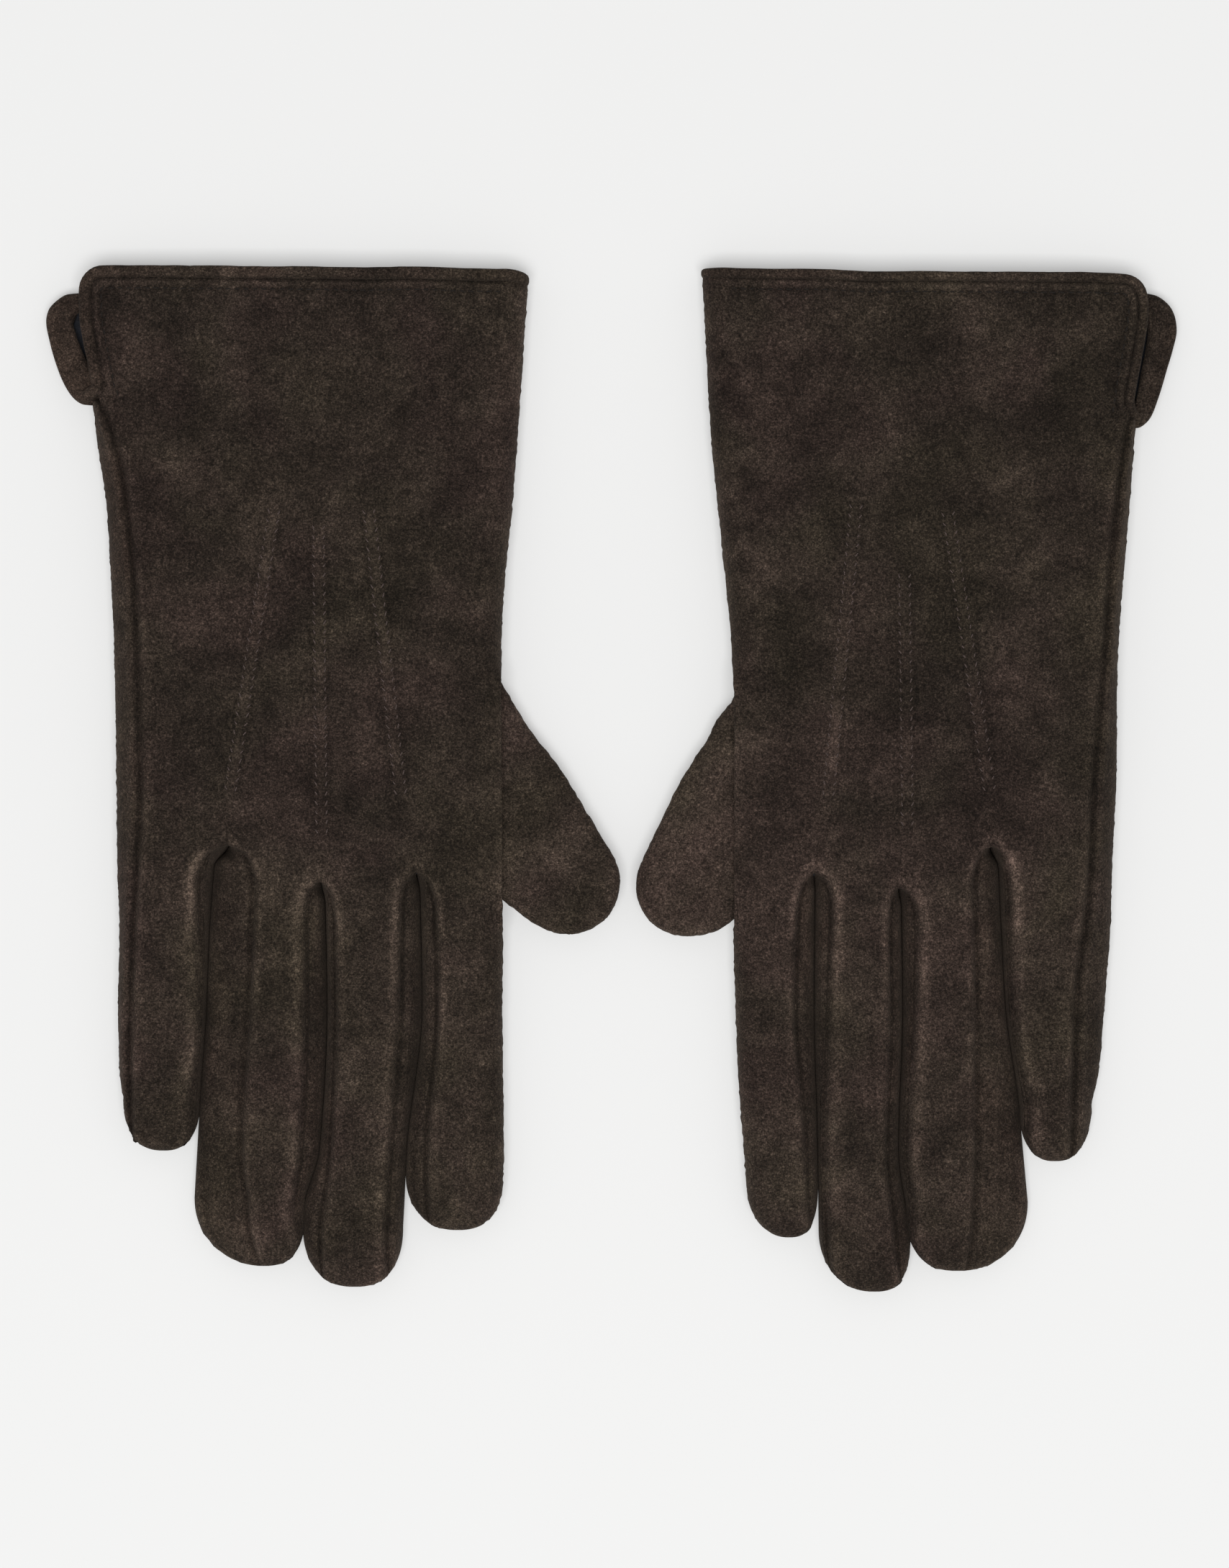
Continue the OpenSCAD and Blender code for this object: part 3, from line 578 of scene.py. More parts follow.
def index_fold(glove, v, held, high, fold_r, z_top):
    """The hand's edge at the index finger, from the back round towards the palm, and its wear attribute,
    which is a painted highlight along the curve of the edge.
    """
    angle = np.linspace(math.pi / 2, -math.pi / 2, FOLD_COLUMNS + 1)[1:]
    z_foot = mix(0.05, 10.4, glove.passage(held))[:, None]
    z_mid = mix(z_foot, z_top, 0.45)
    radius = np.where(angle > 0, fold_r[:, None], np.minimum(FOOT_R, fold_r)[:, None])
    u = high[:, None] - radius + radius * np.cos(angle)
    z = z_mid + np.where(angle > 0, z_top - z_mid, z_mid - z_foot) * np.sin(angle)
    z = z + 0.12 * noise(held[:, None] + 0 * u, angle * 3 + 0 * u, 9, 31)
    z[:, -1] = z_foot[:, 0]
    # painted highlight along the curve of the hand's edge
    return glove.grid(u, v, z), 0.5 * hump(angle, 0.3, 0.4) + 0 * u


def little_wrap(glove, v, held, close, palm_low, left, back):
    """The palm's leather turned up the little finger's side to the seam, and its wear attribute: painted
    shade in the seam, and a lighter ridge beside it that is partly real rubbed nap and partly painted
    highlight.
    """
    vent = ease(held, glove.foot - 1.5, glove.foot + 3)[:, None]
    sunk = (1 - vent) * (1 - ease(close, 0.75, 1)[:, None])
    z_seam, u_seam = back[:, :1, 2], back[:, :1, 0]
    z_side = mix(0.36 * z_seam, 0.5, vent)
    u_end, z_end = mix(u_seam, palm_low[:, None] + 0.9, vent), mix(z_seam, 1.0, vent)
    a = np.linspace(0, 1, WRAP_COLUMNS // 2 + 1)[1:] * math.pi / 2
    lower_u = left[:, None] - WRAP_R * np.sin(a)
    lower_z = SOLE + (z_side - SOLE) * (1 - np.cos(a))
    b = crowded(WRAP_COLUMNS, 0.4)[1:] * math.pi / 2
    upper_u = palm_low[:, None] + (u_end - palm_low[:, None]) * (1 - np.cos(b))
    upper_z = z_side + (z_end + GROOVE * sunk - z_side) * np.sin(b)
    upper_z = upper_z + glove.ridged(u_end - upper_u) * sunk
    upper_u[:, -1], upper_z[:, -1] = u_end[:, 0], z_end[:, 0]
    u, z = np.concatenate([lower_u, upper_u], 1), np.concatenate([lower_z, upper_z], 1)
    from_seam = np.abs(u_end - u)
    # painted shade in the seam, and a lighter ridge beside it, partly rubbed nap and partly painted
    # highlight
    wear_and_painted_light = (0.5 * hump(from_seam, 2.0, 0.9) - 0.9 * hump(from_seam, 0, 0.8)) * (z > 4)
    return glove.grid(u, v, z), wear_and_painted_light


def fourchette(glove, k, high_side, v, held, back, palm):
    """The wall of one side of a finger from its crotch on: its grid, row places and wear attribute, which
    has painted highlights on the pleats' crests and on the ridge below the seam, and painted shade in the
    seam and along the foot.
    """
    cv = glove.crotches[k if high_side else k - 1][0]
    first = int(np.argmin(np.abs(v - cv)))
    v, held = v[first:], held[first:]
    top = back[first:, -1] if high_side else back[first:, 0]
    foot = palm[first:, 0] if high_side else palm[first:, PALM_COLUMNS]
    q = crowded(WALL_COLUMNS, 0.35)[None, :]
    opened = ease(held, cv, cv - 4)[:, None]
    width = np.abs(foot[:, :1] - top[:, :1])
    round_u, round_z = np.sin(q * math.pi / 2) ** 1.1, np.cos(q * math.pi / 2) ** 1.1
    round_z[:, -1] = 0
    u = top[:, :1] + (foot[:, :1] - top[:, :1]) * mix(q, round_u, opened)
    z = foot[:, 2:] + (top[:, 2:] - foot[:, 2:]) * mix(1 - q, round_z, opened)
    lip = 1.25 * opened * ease(q, 0, 0.12) * np.clip(width / 2.5 - 0.3, 0, 1)
    along = held[:, None] + 0 * u
    from_top = np.abs(u - top[:, :1])
    pleat = noise(from_top + 0.03 * along, along / 12 + 10 * k, 1.7, 41 + k) * opened
    inside = np.minimum(1, 4 * q * (1 - q)) * np.clip(width / 3.5, 0.25, 1)
    z = z + lip * (1 - q ** 3) + 0.34 * pleat * inside
    wall = np.stack([u, v[:, None] + 0 * u, z], -1)
    wall[:, 0], wall[:, -1] = top, foot
    # painted highlights on the pleats' crests and the ridge below the seam, painted shade in the seam and
    # along the foot
    wear_and_painted_light = 0.75 * pleat * inside - 0.5 * hump(from_top, 0, 0.6) - 0.7 * hump(q, 1, 0.12)
    wear_and_painted_light = wear_and_painted_light + 0.40 * hump(from_top, 1.7, 0.8) * np.clip(width / 4, 0, 1)
    if not high_side:
        wall, wear_and_painted_light = wall[:, ::-1], wear_and_painted_light[:, ::-1]
    return wall, v, wear_and_painted_light


def leather_skin(glove):
    """The whole leather of a glove but for the thumb: back, palm and fourchettes."""
    skin = Skin()
    for k, name in enumerate(FINGERS):
        spec, cuts = glove.fingers[name], glove.cuts[name]
        body = rows_down_to(glove, spec["shoulder"])
        tips, s = tip_rows(spec)
        v = np.concatenate([body, tips])
        held = np.concatenate([body, np.full(len(tips), spec["shoulder"])])
        close = np.concatenate([np.zeros(len(body)), s])

        def labels(hand, base, rows=v, columns=None):
            """The piece that the faces between each two rows belong to."""
            middle = (rows[:-1] + rows[1:]) / 2
            names = [hand if m > cuts["start"] else base if m > cuts["split"]
                     else base.replace("_base", "_tip") for m in middle]
            if columns is None:
                return names
            return np.repeat(np.array(names, object)[:, None], columns, 1)

        low, high = glove.group_edges(k, held)
        palm_low, palm_high = glove.palm_edges(k, held)
        r = np.maximum(tip_share(close), 0.02)
        mid = (palm_low[-1] + palm_high[-1]) / 2
        low = np.where(close > 0, np.maximum(palm_low, mid + (low - mid) / r), low)
        high = np.where(close > 0, np.minimum(palm_high, mid + (high - mid) / r), high)
        fold_r = np.minimum(FOLD_R, 0.34 * (high - low))

        # the back, which on the index finger goes on round the fold
        right = high - fold_r if k == INDEX else high
        u = low[:, None] + (right - low)[:, None] * crowded(GROUP_COLUMNS)[None, :]
        at_body = glove.hemmed(u, held[:, None] + 0 * u)
        z, wear_and_painted_light = glove.crown(u, at_body, low[:, None], high[:, None], k, close[:, None])
        back = glove.grid(u, v, z)
        if k == INDEX:
            fold, fold_wear_and_painted_light = index_fold(glove, v, held, high, fold_r, z[:, -1:])
            back, wear_and_painted_light = np.concatenate([back, fold], 1), np.concatenate([wear_and_painted_light, fold_wear_and_painted_light], 1)
            palm_high = high - np.minimum(FOOT_R, fold_r)

        # the palm, with its thumb hole, which on the little finger goes on up the outer side
        if k >= INDEX - 1:
            palm_high = np.minimum(palm_high, glove.thumb_hole(held))
            palm_low = np.minimum(palm_low, palm_high)
        left = palm_low + WRAP_R if k == LITTLE else palm_low
        u = left[:, None] + (palm_high - left)[:, None] * np.linspace(1, 0, PALM_COLUMNS + 1)[None, :]
        from_low, from_high = u - left[:, None], palm_high[:, None] - u
        rounded = (k != LITTLE) * hump(from_low, 0, 1.9) + (k != INDEX) * hump(from_high, 0, 1.9)
        z = SOLE + ease(held, -16, -24)[:, None] * 2.4 * rounded
        palm, palm_wear_and_painted_light = glove.grid(u, v, z), np.zeros_like(z)
        if k == LITTLE:
            wrap, rim = little_wrap(glove, v, held, close, palm_low, left, back)
            palm, palm_wear_and_painted_light = np.concatenate([palm, wrap], 1), np.concatenate([palm_wear_and_painted_light, rim], 1)

        walls = [fourchette(glove, k, high_side, v, held, back, palm)
                 for high_side in (False, True) if not on_outside(k, high_side)]
        round_tips([back, palm] + [wall for wall, _, _ in walls], spec, s)

        # the leather beside the thumb hole and the curled edge at the vent have no lining
        back_labels = labels("back", f"{name}_base", columns=back.shape[1] - 1)
        palm_labels = labels("palm", f"{name}_base", columns=palm.shape[1] - 1)
        back_column, palm_column = np.arange(back.shape[1] - 1), np.arange(palm.shape[1] - 1)
        by_thumb = ((v[:-1] < 40) & (v[:-1] > -48))[:, None]
        by_vent = (v[:-1] > glove.foot - 2)[:, None]
        if k == INDEX:
            back_labels[by_thumb & (back_column >= GROUP_COLUMNS) & (back_labels == "back")] = "back_bare"
            outer_half = palm_column < PALM_COLUMNS // 2
            palm_labels[by_thumb & outer_half & (palm_labels == "palm")] = "palm_bare"
        elif k == LITTLE:
            curled = palm_column >= PALM_COLUMNS + WRAP_COLUMNS // 2
            palm_labels[by_vent & curled & (palm_labels == "palm")] = "palm_bare"
        skin.add(back, back_labels, wear_and_painted_light)
        skin.add(palm, palm_labels, palm_wear_and_painted_light)
        for wall, rows, wall_wear_and_painted_light in walls:
            sides = f"{name}_base_fourchettes"
            skin.add(wall, labels(sides, sides, rows), wall_wear_and_painted_light)
    skin.weld()
    smooth = np.zeros(len(skin.p), bool)
    for (cv, _), contact in zip(glove.crotches, glove.contacts):
        smooth |= (skin.p[:, 1] < cv) & (np.abs(skin.p[:, 0] - contact(skin.p[:, 1])) < 1.5)
    for spec in glove.fingers.values():
        smooth |= np.hypot(skin.p[:, 0] - spec["tip"][1], skin.p[:, 1] - spec["tip"][0]) < 4.5
    skin.ruffle(~smooth, 0.10)
    return skin


def round_tips(parts, spec, s):
    """Draws all of a finger's surfaces in to the same rounded tip."""
    n = len(s)
    last = np.concatenate([p[-n - 1] for p in parts])
    mid = (last[:, 0].min() + last[:, 0].max()) / 2
    for i, along in enumerate(s):
        r = tip_share(along)
        for part in parts:
            row = part[len(part) - n + i]
            row[:, 0] = mid + (spec["tip"][1] - mid) * along ** 2 + (row[:, 0] - mid) * r
            row[:, 2] = TIP_HEIGHT * (1 - r) + row[:, 2] * r


# Each thumb is three circles: its root's towards the cuff and towards the index finger, and its tip's.
# Slack is how much narrower its cuff side is where it leaves the hand, and bulge is what is added to its
# index side, as (width, place along the thumb, spread).
THUMB_SIZE = {
    "right": {"cuff_r": 25.2, "index_r": 20.6, "tip_r": 13.1, "reach": 37.0, "slack": 0.0,
              "bulge": (-1.4, 27, 6)},
    "left": {"cuff_r": 24.2, "index_r": 21.4, "tip_r": 12.7, "reach": 35.2, "slack": 1.5,
             "bulge": (1.0, 36, 5)},
}
THUMB_TURN = 22.0       # radius within which the thumb's root turns
THUMB_HEIGHT = 4.9      # height of the thumb's middle
THUMB_POINTS = 64       # round the thumb


def glove_thumb(glove):
    """The thumb's place and size, from the CAD thumb."""
    swing, bend = JOINTS[f"{glove.side}_thumb_swing"], JOINTS[f"{glove.side}_thumb_bend"]
    centre = np.array([glove.sign * (swing["pos_m"][0] / MM - glove.x0), swing["pos_m"][1] / MM])
    crease = np.array([glove.sign * (bend["pos_m"][0] / MM - glove.x0), bend["pos_m"][1] / MM])
    along = crease - centre
    d = along / np.linalg.norm(along)
    return {"centre": centre, "d": d, "n": np.array([-d[1], d[0]]), "crease": float(np.linalg.norm(along)),
            **THUMB_SIZE[glove.side]}


def thumb_skin(glove):
    """The thumb: a flattened tube from inside the hand to its round tip."""
    skin = Skin()
    thumb = glove_thumb(glove)
    reach, tip_r = thumb["reach"], thumb["tip_r"]
    end = reach + tip_r
    meet = reach + tip_r * (thumb["cuff_r"] - tip_r) / reach
    cut = thumb["crease"] - 9
    closing = meet + (end - meet) * np.sin(np.linspace(0, math.pi / 2, 22))
    s = np.concatenate([np.arange(-14, meet, 1.1), closing])
    s = np.sort(np.append(s[np.abs(s - cut) > 0.5], cut))
    tip = np.sqrt(np.maximum(0.02, tip_r ** 2 - (s - reach) ** 2))

    def side_width(root_r, within):
        """Half the thumb's width on one side: straight from its root circle to its tip circle."""
        slope = (root_r - tip_r) / reach
        straight = (root_r - s * slope) / math.sqrt(1 - slope ** 2)
        w = np.where(s < reach + tip_r * slope, straight, tip) - 0.2
        root = np.sqrt(np.maximum(0, within ** 2 - s ** 2))
        return np.where(s < root_r * slope, np.minimum(w, root), w)
    cuff_side = side_width(thumb["cuff_r"], thumb["cuff_r"] + 5.0)
    narrower = 1.8 * ease(s, 20, 4) + thumb["slack"] * ease(s, 3, -6)
    cuff_side = np.maximum(cuff_side - narrower, np.minimum(cuff_side, 3.0))
    bulge, bulge_at, bulge_spread = thumb["bulge"]
    index_side = side_width(thumb["index_r"], THUMB_TURN) + bulge * hump(s, bulge_at, bulge_spread)

    # the section, a flattened round that is thinner towards the tip
    close = np.clip(index_side / 12.0, 0, 1)
    half = np.minimum(4.45, 1.0 + 4.6 * (1 - (1 - close) ** 2.2)) * mix(1.0, 0.93, ease(s, 10, 40))
    a = np.linspace(0, 2 * math.pi, THUMB_POINTS + 1)
    a = a + 0.12 * np.sin(2 * a)
    across, rise = squarer(np.cos(a), 0.9), squarer(np.sin(a), 0.62)
    w = np.where(across > 0, cuff_side[:, None], index_side[:, None]) * across
    along = s[:, None] + 0 * w
    w = w * (1 + 0.004 * noise(along, w, 2.5, 53))
    z = THUMB_HEIGHT + half[:, None] * rise * np.where(rise > 0, 1.0, 1.06)[None, :]
    top = (rise > 0.05)[None, :] & np.ones_like(z, bool)
    z = z + 0.28 * noise(along, w, 12, 51) * top + 0.12 * noise(along, w, 5, 52) * top
    c, d, n = thumb["centre"], thumb["d"], thumb["n"]
    u = c[0] + d[0] * along + n[0] * w
    v = c[1] + d[1] * along + n[1] * w
    over_palm = ease(np.hypot(along, w), THUMB_TURN - 0.5, THUMB_TURN + 1.5) * ease(u, 48, 44)
    z = np.maximum(z, mix(SOLE, 2.7, over_palm))
    # the thumb is a lighter tone overall, and the ridge along its index-side seam gets a painted highlight
    seam = hump(np.abs(w + index_side[:, None]), 1.3, 0.9)
    wear_and_painted_light = 0.46 + 0.46 * seam * top * ease(s, 20, 34)[:, None]
    middle = (s[:-1] + s[1:]) / 2
    pieces = ["thumb_base" if m < cut else "thumb_tip" for m in middle]
    skin.add(np.stack([u, v, z], -1)[:, ::-1], pieces, wear_and_painted_light[:, ::-1])
    skin.weld()
    skin.ruffle(skin.p[:, 2] > 2, 0.08)
    if (skin.n[:, 2] * np.sign(skin.p[:, 2] - THUMB_HEIGHT)).mean() < 0:
        skin.f, skin.n = skin.f[:, ::-1], -skin.n
    return skin, thumb


# ---- Sweeps: binding, threads and linings ----------------------------------------------------

STRAP_TURNS = 14        # points round a strap
LEAF_POINTS = 72        # points along each outline of the vent's facing
LINING_TOP = LEATHER + 0.02     # depth of the lining's outside below the leather's
FINGER_INSET = 1.6      # the same for a finger's lining, which lies looser


def tube_faces(rings, turns):
    """Faces of a closed tube of rings, whose points are counted ring by ring."""
    index = np.arange(rings * turns).reshape(rings, turns)
    nxt = np.roll(index, -1, axis=1)
    quads = np.stack([index[:-1], index[1:], nxt[1:], nxt[:-1]], -1).reshape(-1, 4).tolist()
    return quads + [index[0].tolist(), index[-1, ::-1].tolist()]


def sweep(path, side, up, half_side, half_up):
    """Points and faces of a closed strap along a path, with a rounded section."""
    a = np.linspace(0, 2 * math.pi, STRAP_TURNS, endpoint=False)
    ca, sa = squarer(np.cos(a), 0.75), squarer(np.sin(a), 0.75)
    ends = np.ones(len(path))
    ends[[0, -1]] = 0.35
    ends[[1, -2]] = 0.85
    p = (path[:, None] + (half_side * ends)[:, None, None] * ca[None, :, None] * side[:, None]
         + (half_up * ends)[:, None, None] * sa[None, :, None] * up[:, None])
    return p.reshape(-1, 3), tube_faces(len(path), STRAP_TURNS)


def unit(a):
    """Vectors at length 1."""
    return a / np.maximum(np.linalg.norm(a, axis=-1, keepdims=True), 1e-9)


def resample(path, step):
    """Points at even steps along a path."""
    lengths = lengths_along(path)
    count = max(2, int(round(lengths[-1] / step)) + 1)
    at = np.linspace(0, lengths[-1], count)
    return np.stack([np.interp(at, lengths, path[:, i]) for i in range(path.shape[1])], 1)


def fix_winding(p, faces):
    """Turns the faces over if they point inwards."""
    volume = sum(np.dot(p[f[0]], np.cross(p[f[i]], p[f[i + 1]]))
                 for f in faces for i in range(1, len(f) - 1))
    return [f[::-1] for f in faces] if volume < 0 else faces


def stitches(name, glove, rows, material, length, radius, sink, seed):
    """Short thread stitches laid along rows of (place, direction) points."""
    rng = np.random.default_rng(seed)
    rings, turns = 5, 6
    s = np.linspace(-1, 1, rings)
    r = radius * np.sqrt(np.maximum(0.06, 1 - np.abs(s) ** 3))
    arch = (1 - s ** 2) * radius * 1.1 - sink
    a = np.linspace(0, 2 * math.pi, turns, endpoint=False)
    all_p, all_f = [], []
    for place, along in rows:
        skew = rng.uniform(-0.22, 0.22)
        across = unit(np.array([-along[1], along[0], 0.0]))
        forward = unit(along + across * skew)
        across = unit(np.cross(np.array([0, 0, 1.0]), forward))
        up = np.cross(forward, across)
        size = length * rng.uniform(0.85, 1.15)
        spine = place + forward * (s * size / 2)[:, None] + up * arch[:, None]
        ring = np.cos(a)[None, :, None] * across + np.sin(a)[None, :, None] * up
        p = spine[:, None] + r[:, None, None] * ring
        base = len(all_p) * rings * turns
        index = base + np.arange(rings * turns).reshape(rings, turns)
        nxt = np.roll(index, -1, axis=1)
        all_f += np.stack([index[:-1], nxt[:-1], nxt[1:], index[1:]], -1).reshape(-1, 4).tolist()
        all_f += [index[0, ::-1].tolist(), index[-1].tolist()]
        all_p.append(p.reshape(-1, 3))
    return new_object(name, glove, np.concatenate(all_p), all_f, material)


def surface_height(skin, labels):
    """A function that gives the height of a labelled surface at (u, v), from its nearest points."""
    used = np.unique(skin.f[np.isin(skin.l, labels)])
    p = skin.p[used]
    tree = KDTree(len(p))
    for i, q in enumerate(p):
        tree.insert((q[0], q[1], 0), i)
    tree.balance()

    def at(u, v):
        found = tree.find_n((u, v, 0), 4)
        weights = [1 / (f[2] + 0.05) ** 2 for f in found]
        return sum(w * p[f[1]][2] for w, f in zip(weights, found)) / sum(weights)
    return at


# ---- Materials -------------------------------------------------------------------------------

def srgb(r, g, b):
    """A colour given in 0-255 display values, as linear."""
    def linear(c):
        c = c / 255
        return c / 12.92 if c <= 0.04045 else ((c + 0.055) / 1.055) ** 2.4
    return (linear(r), linear(g), linear(b), 1.0)


class Nodes:
    """A short way to build a material's nodes."""

    def __init__(self, name):
        self.material = bpy.data.materials.new(name)
        self.material.use_nodes = True
        self.tree = self.material.node_tree
        self.shader = self.tree.nodes["Principled BSDF"]

    def add(self, kind, inputs=None, **settings):
        """A node with its inputs set or linked."""
        node = self.tree.nodes.new(kind)
        for key, value in settings.items():
            setattr(node, key, value)
        for key, value in (inputs or {}).items():
            if hasattr(value, "links"):
                self.tree.links.new(value, node.inputs[key])
            else:
                node.inputs[key].default_value = value
        return node

    def noise(self, where, scale, detail=2.0, rough=0.55, distort=0.0):
        """Noise over a place."""
        return self.add("ShaderNodeTexNoise", {"Vector": where, "Scale": scale, "Detail": detail,
                                               "Roughness": rough, "Distortion": distort}).outputs["Fac"]

    def ramp(self, value, stops):
        """A colour between (place, colour) stops."""
        node = self.add("ShaderNodeValToRGB", {"Fac": value})
        elements = node.color_ramp.elements
        while len(elements) < len(stops):
            elements.new(0.5)
        for element, (place, colour) in zip(elements, stops):
            element.position = place
            element.color = colour
        return node.outputs["Color"]

    def multiply(self, a, b):
        """One colour times another."""
        return self.add("ShaderNodeMix", {"Factor": 1.0, 6: a, 7: b},
                        data_type="RGBA", blend_type="MULTIPLY").outputs[2]

    def math(self, operation, a, b=0.5, c=0.5):
        """A sum on one to three values."""
        return self.add("ShaderNodeMath", {0: a, 1: b, 2: c}, operation=operation).outputs[0]

    def bump(self, height, strength, distance):
        """A normal for a surface of that height."""
        return self.add("ShaderNodeBump", {"Height": height, "Strength": strength,
                                           "Distance": distance}).outputs[0]

    def out(self, socket, value):
        """Sets one of the shader's inputs, or links it."""
        if hasattr(value, "links"):
            self.tree.links.new(value, self.shader.inputs[socket])
        else:
            self.shader.inputs[socket].default_value = value


def suede(name, colour, tints):
    """Napped suede: broad tonal patches, mottling where the nap lies over, fine grain and soft sheen, made
    lighter and darker by the wear attribute, which carries painted highlights and painted shade as well as
    rubbed nap.
    """
    m = Nodes(name)
    where = m.add("ShaderNodeTexCoord").outputs["Object"]
    broad = m.noise(where, 34, 2, 0.5, 0.3)
    patch = m.noise(where, 62, 3, 0.55, 0.4)
    mottle = m.noise(where, 260, 3, 0.62, 0.5)
    fleck = m.noise(where, 1300, 2, 0.7, 0.4)
    grains = m.noise(where, 2600, 2, 0.7)
    tint = m.ramp(broad, list(zip((0.36, 0.50, 0.64), tints)))
    tone = m.math("MULTIPLY_ADD", patch, 1.9, m.math("MULTIPLY", fleck, 2.7))
    tone = m.math("MULTIPLY_ADD", mottle, 1.3, tone)
    tone = m.math("MULTIPLY_ADD", grains, 2.9, tone)
    tone = m.math("ADD", tone, -4.50)
    # the wear attribute brings painted highlights and painted shade into the tone, as well as rubbed nap
    wear_and_painted_light_value = m.add("ShaderNodeAttribute", attribute_name="wear_and_painted_light").outputs["Fac"]
    tone = m.math("MULTIPLY_ADD", wear_and_painted_light_value, 0.50, tone)
    shade = m.math("POWER", 2.0, m.math("MULTIPLY", tone, 1.6))
    grey = m.add("ShaderNodeCombineColor", {"Red": shade, "Green": shade, "Blue": shade}).outputs[0]
    m.out("Base Color", m.multiply(m.multiply(colour, tint), grey))
    m.out("Roughness", 0.97)
    m.out("Specular IOR Level", 0.12)
    m.out("Sheen Weight", 0.16)
    m.out("Sheen Roughness", 0.5)
    m.out("Sheen Tint", srgb(150, 134, 120))
    relief = m.math("MULTIPLY_ADD", fleck, 0.9, m.math("MULTIPLY", grains, 0.6))
    relief = m.math("MULTIPLY_ADD", mottle, 0.8, relief)
    m.out("Normal", m.bump(relief, 0.5, 0.0006))
    return m.material


def fleece_material():
    """Knitted fleece: small loops and a soft pile."""
    m = Nodes("fleece_knit")
    where = m.add("ShaderNodeTexCoord").outputs["Object"]
    cells = m.add("ShaderNodeTexVoronoi", {"Vector": where, "Scale": 900.0}).outputs["Distance"]
    pile = m.noise(where, 2600, 3, 0.7)
    value = m.math("MULTIPLY_ADD", cells, 0.5, m.math("MULTIPLY", pile, 0.6))
    m.out("Base Color", m.ramp(value, [(0.25, srgb(9, 10, 15)), (0.75, srgb(27, 30, 40))]))
    m.out("Roughness", 0.95)
    m.out("Sheen Weight", 0.4)
    m.out("Sheen Roughness", 0.5)
    m.out("Normal", m.bump(value, 0.7, 0.0008))
    return m.material


def thread_material(name, dark, light):
    """Twisted thread: a lay of fine strands with a slight shine."""
    m = Nodes(name)
    where = m.add("ShaderNodeTexCoord").outputs["Object"]
    strands = m.add("ShaderNodeTexWave", {"Vector": where, "Scale": 1400.0, "Distortion": 3.0,
                                          "Detail": 2.0}, bands_direction="DIAGONAL").outputs["Fac"]
    m.out("Base Color", m.ramp(strands, [(0.2, dark), (0.8, light)]))
    m.out("Roughness", 0.75)
    m.out("Specular IOR Level", 0.15)
    m.out("Sheen Weight", 0.05)
    m.out("Normal", m.bump(strands, 0.5, 0.0002))
    return m.material


# ---- Pieces ----------------------------------------------------------------------------------

def settle(obj, slot, *nodes):
    """Hides the CAD nodes that a finished piece replaces; the slot is not used."""
    if nodes:
        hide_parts(*nodes)
    return obj


BEND_HEIGHT = 3.0       # height of the bends' ends, within the glove


def build_fingers(glove, skin, leather, side_leather, fleece):
    """The leather and the lining of the four fingers, each cut into a base piece and a tip piece."""
    side = glove.side
    for name in FINGERS:
        cuts = glove.cuts[name]
        hand, root, end = f"{side}_hand", f"{side}_{name}_root", f"{side}_{name}_end"
        u = glove.fingers[name]["tip"][1]

        def place(v):
            return tuple(to_row(glove, np.array([u, v, BEND_HEIGHT])))
        knuckle = {"start": place(cuts["start"]), "end": place(cuts["end"])}
        middle = {"start": place(cuts["bend"][0]), "end": place(cuts["bend"][1])}
        for stretch, near, far, bend in (("base", hand, root, knuckle), ("tip", root, end, middle)):
            for part, slot, material in (("", "suede", leather),
                                         ("_fourchettes", "suede_side", side_leather)):
                label = f"{name}_{stretch}{part}"
                piece = shell(f"{side}_{label}_leather", glove, skin, [label], material)
                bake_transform(settle(piece, slot, f"{side}_{label}"))
        inner = finger_lining(glove, name, fleece)
        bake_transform(settle(inner, "fleece", f"{side}_{name}_lining"))


def finger_lining(glove, name, material):
    """The fleece tube inside a finger, closed at its tip."""
    spec, cuts = glove.fingers[name], glove.cuts[name]
    k = FINGERS.index(name)
    tips, s = tip_rows(spec)
    body = np.arange(cuts["end"] - 1, spec["shoulder"], -2.0)
    v = np.concatenate([body, tips[:-2] + 2.0])
    held = np.concatenate([body, np.full(len(tips) - 2, spec["shoulder"])])
    shrink = np.concatenate([np.ones(len(body)), tip_share(s[:-2])])
    low, high = glove.group_edges(k, held)
    a = np.linspace(0, 2 * math.pi, 24, endpoint=False)
    mid, half = (low + high) / 2, (high - low) / 2 - FINGER_INSET
    drift = np.concatenate([np.zeros(len(body)), s[:-2] ** 2]) * (spec["tip"][1] - mid[-1])
    top = HEIGHT(held) - 3.4
    zc = (top + FINGER_INSET) / 2
    u = (mid + drift)[:, None] + (half * shrink)[:, None] * np.cos(a)
    z = zc[:, None] + ((top - FINGER_INSET) / 2 * shrink)[:, None] * np.sin(a)
    p = np.stack([u, v[:, None] + 0 * u, z], -1)
    p, faces = p.reshape(-1, 3), tube_faces(*u.shape)
    return new_object(f"{glove.side}_{name}_fleece", glove, p, fix_winding(p, faces), material)


def build_hand(glove, skin, leather, side_leather, fleece):
    """The back, the palm and their lining."""
    side = glove.side
    body = f"{side}_hand"
    back = shell(f"{side}_back_leather", glove, skin, ["back", "back_bare"], leather)
    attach(settle(back, "suede", f"{side}_back_panel"), body)
    palm = shell(f"{side}_palm_leather", glove, skin, ["palm", "palm_bare"], side_leather)
    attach(settle(palm, "suede_side", f"{side}_palm_panel"), body)
    lining = shell(f"{side}_hand_fleece", glove, skin, ["back", "palm"], fleece, LINING_TOP, FLEECE)
    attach(settle(lining, "fleece", f"{side}_hand_lining"), body)


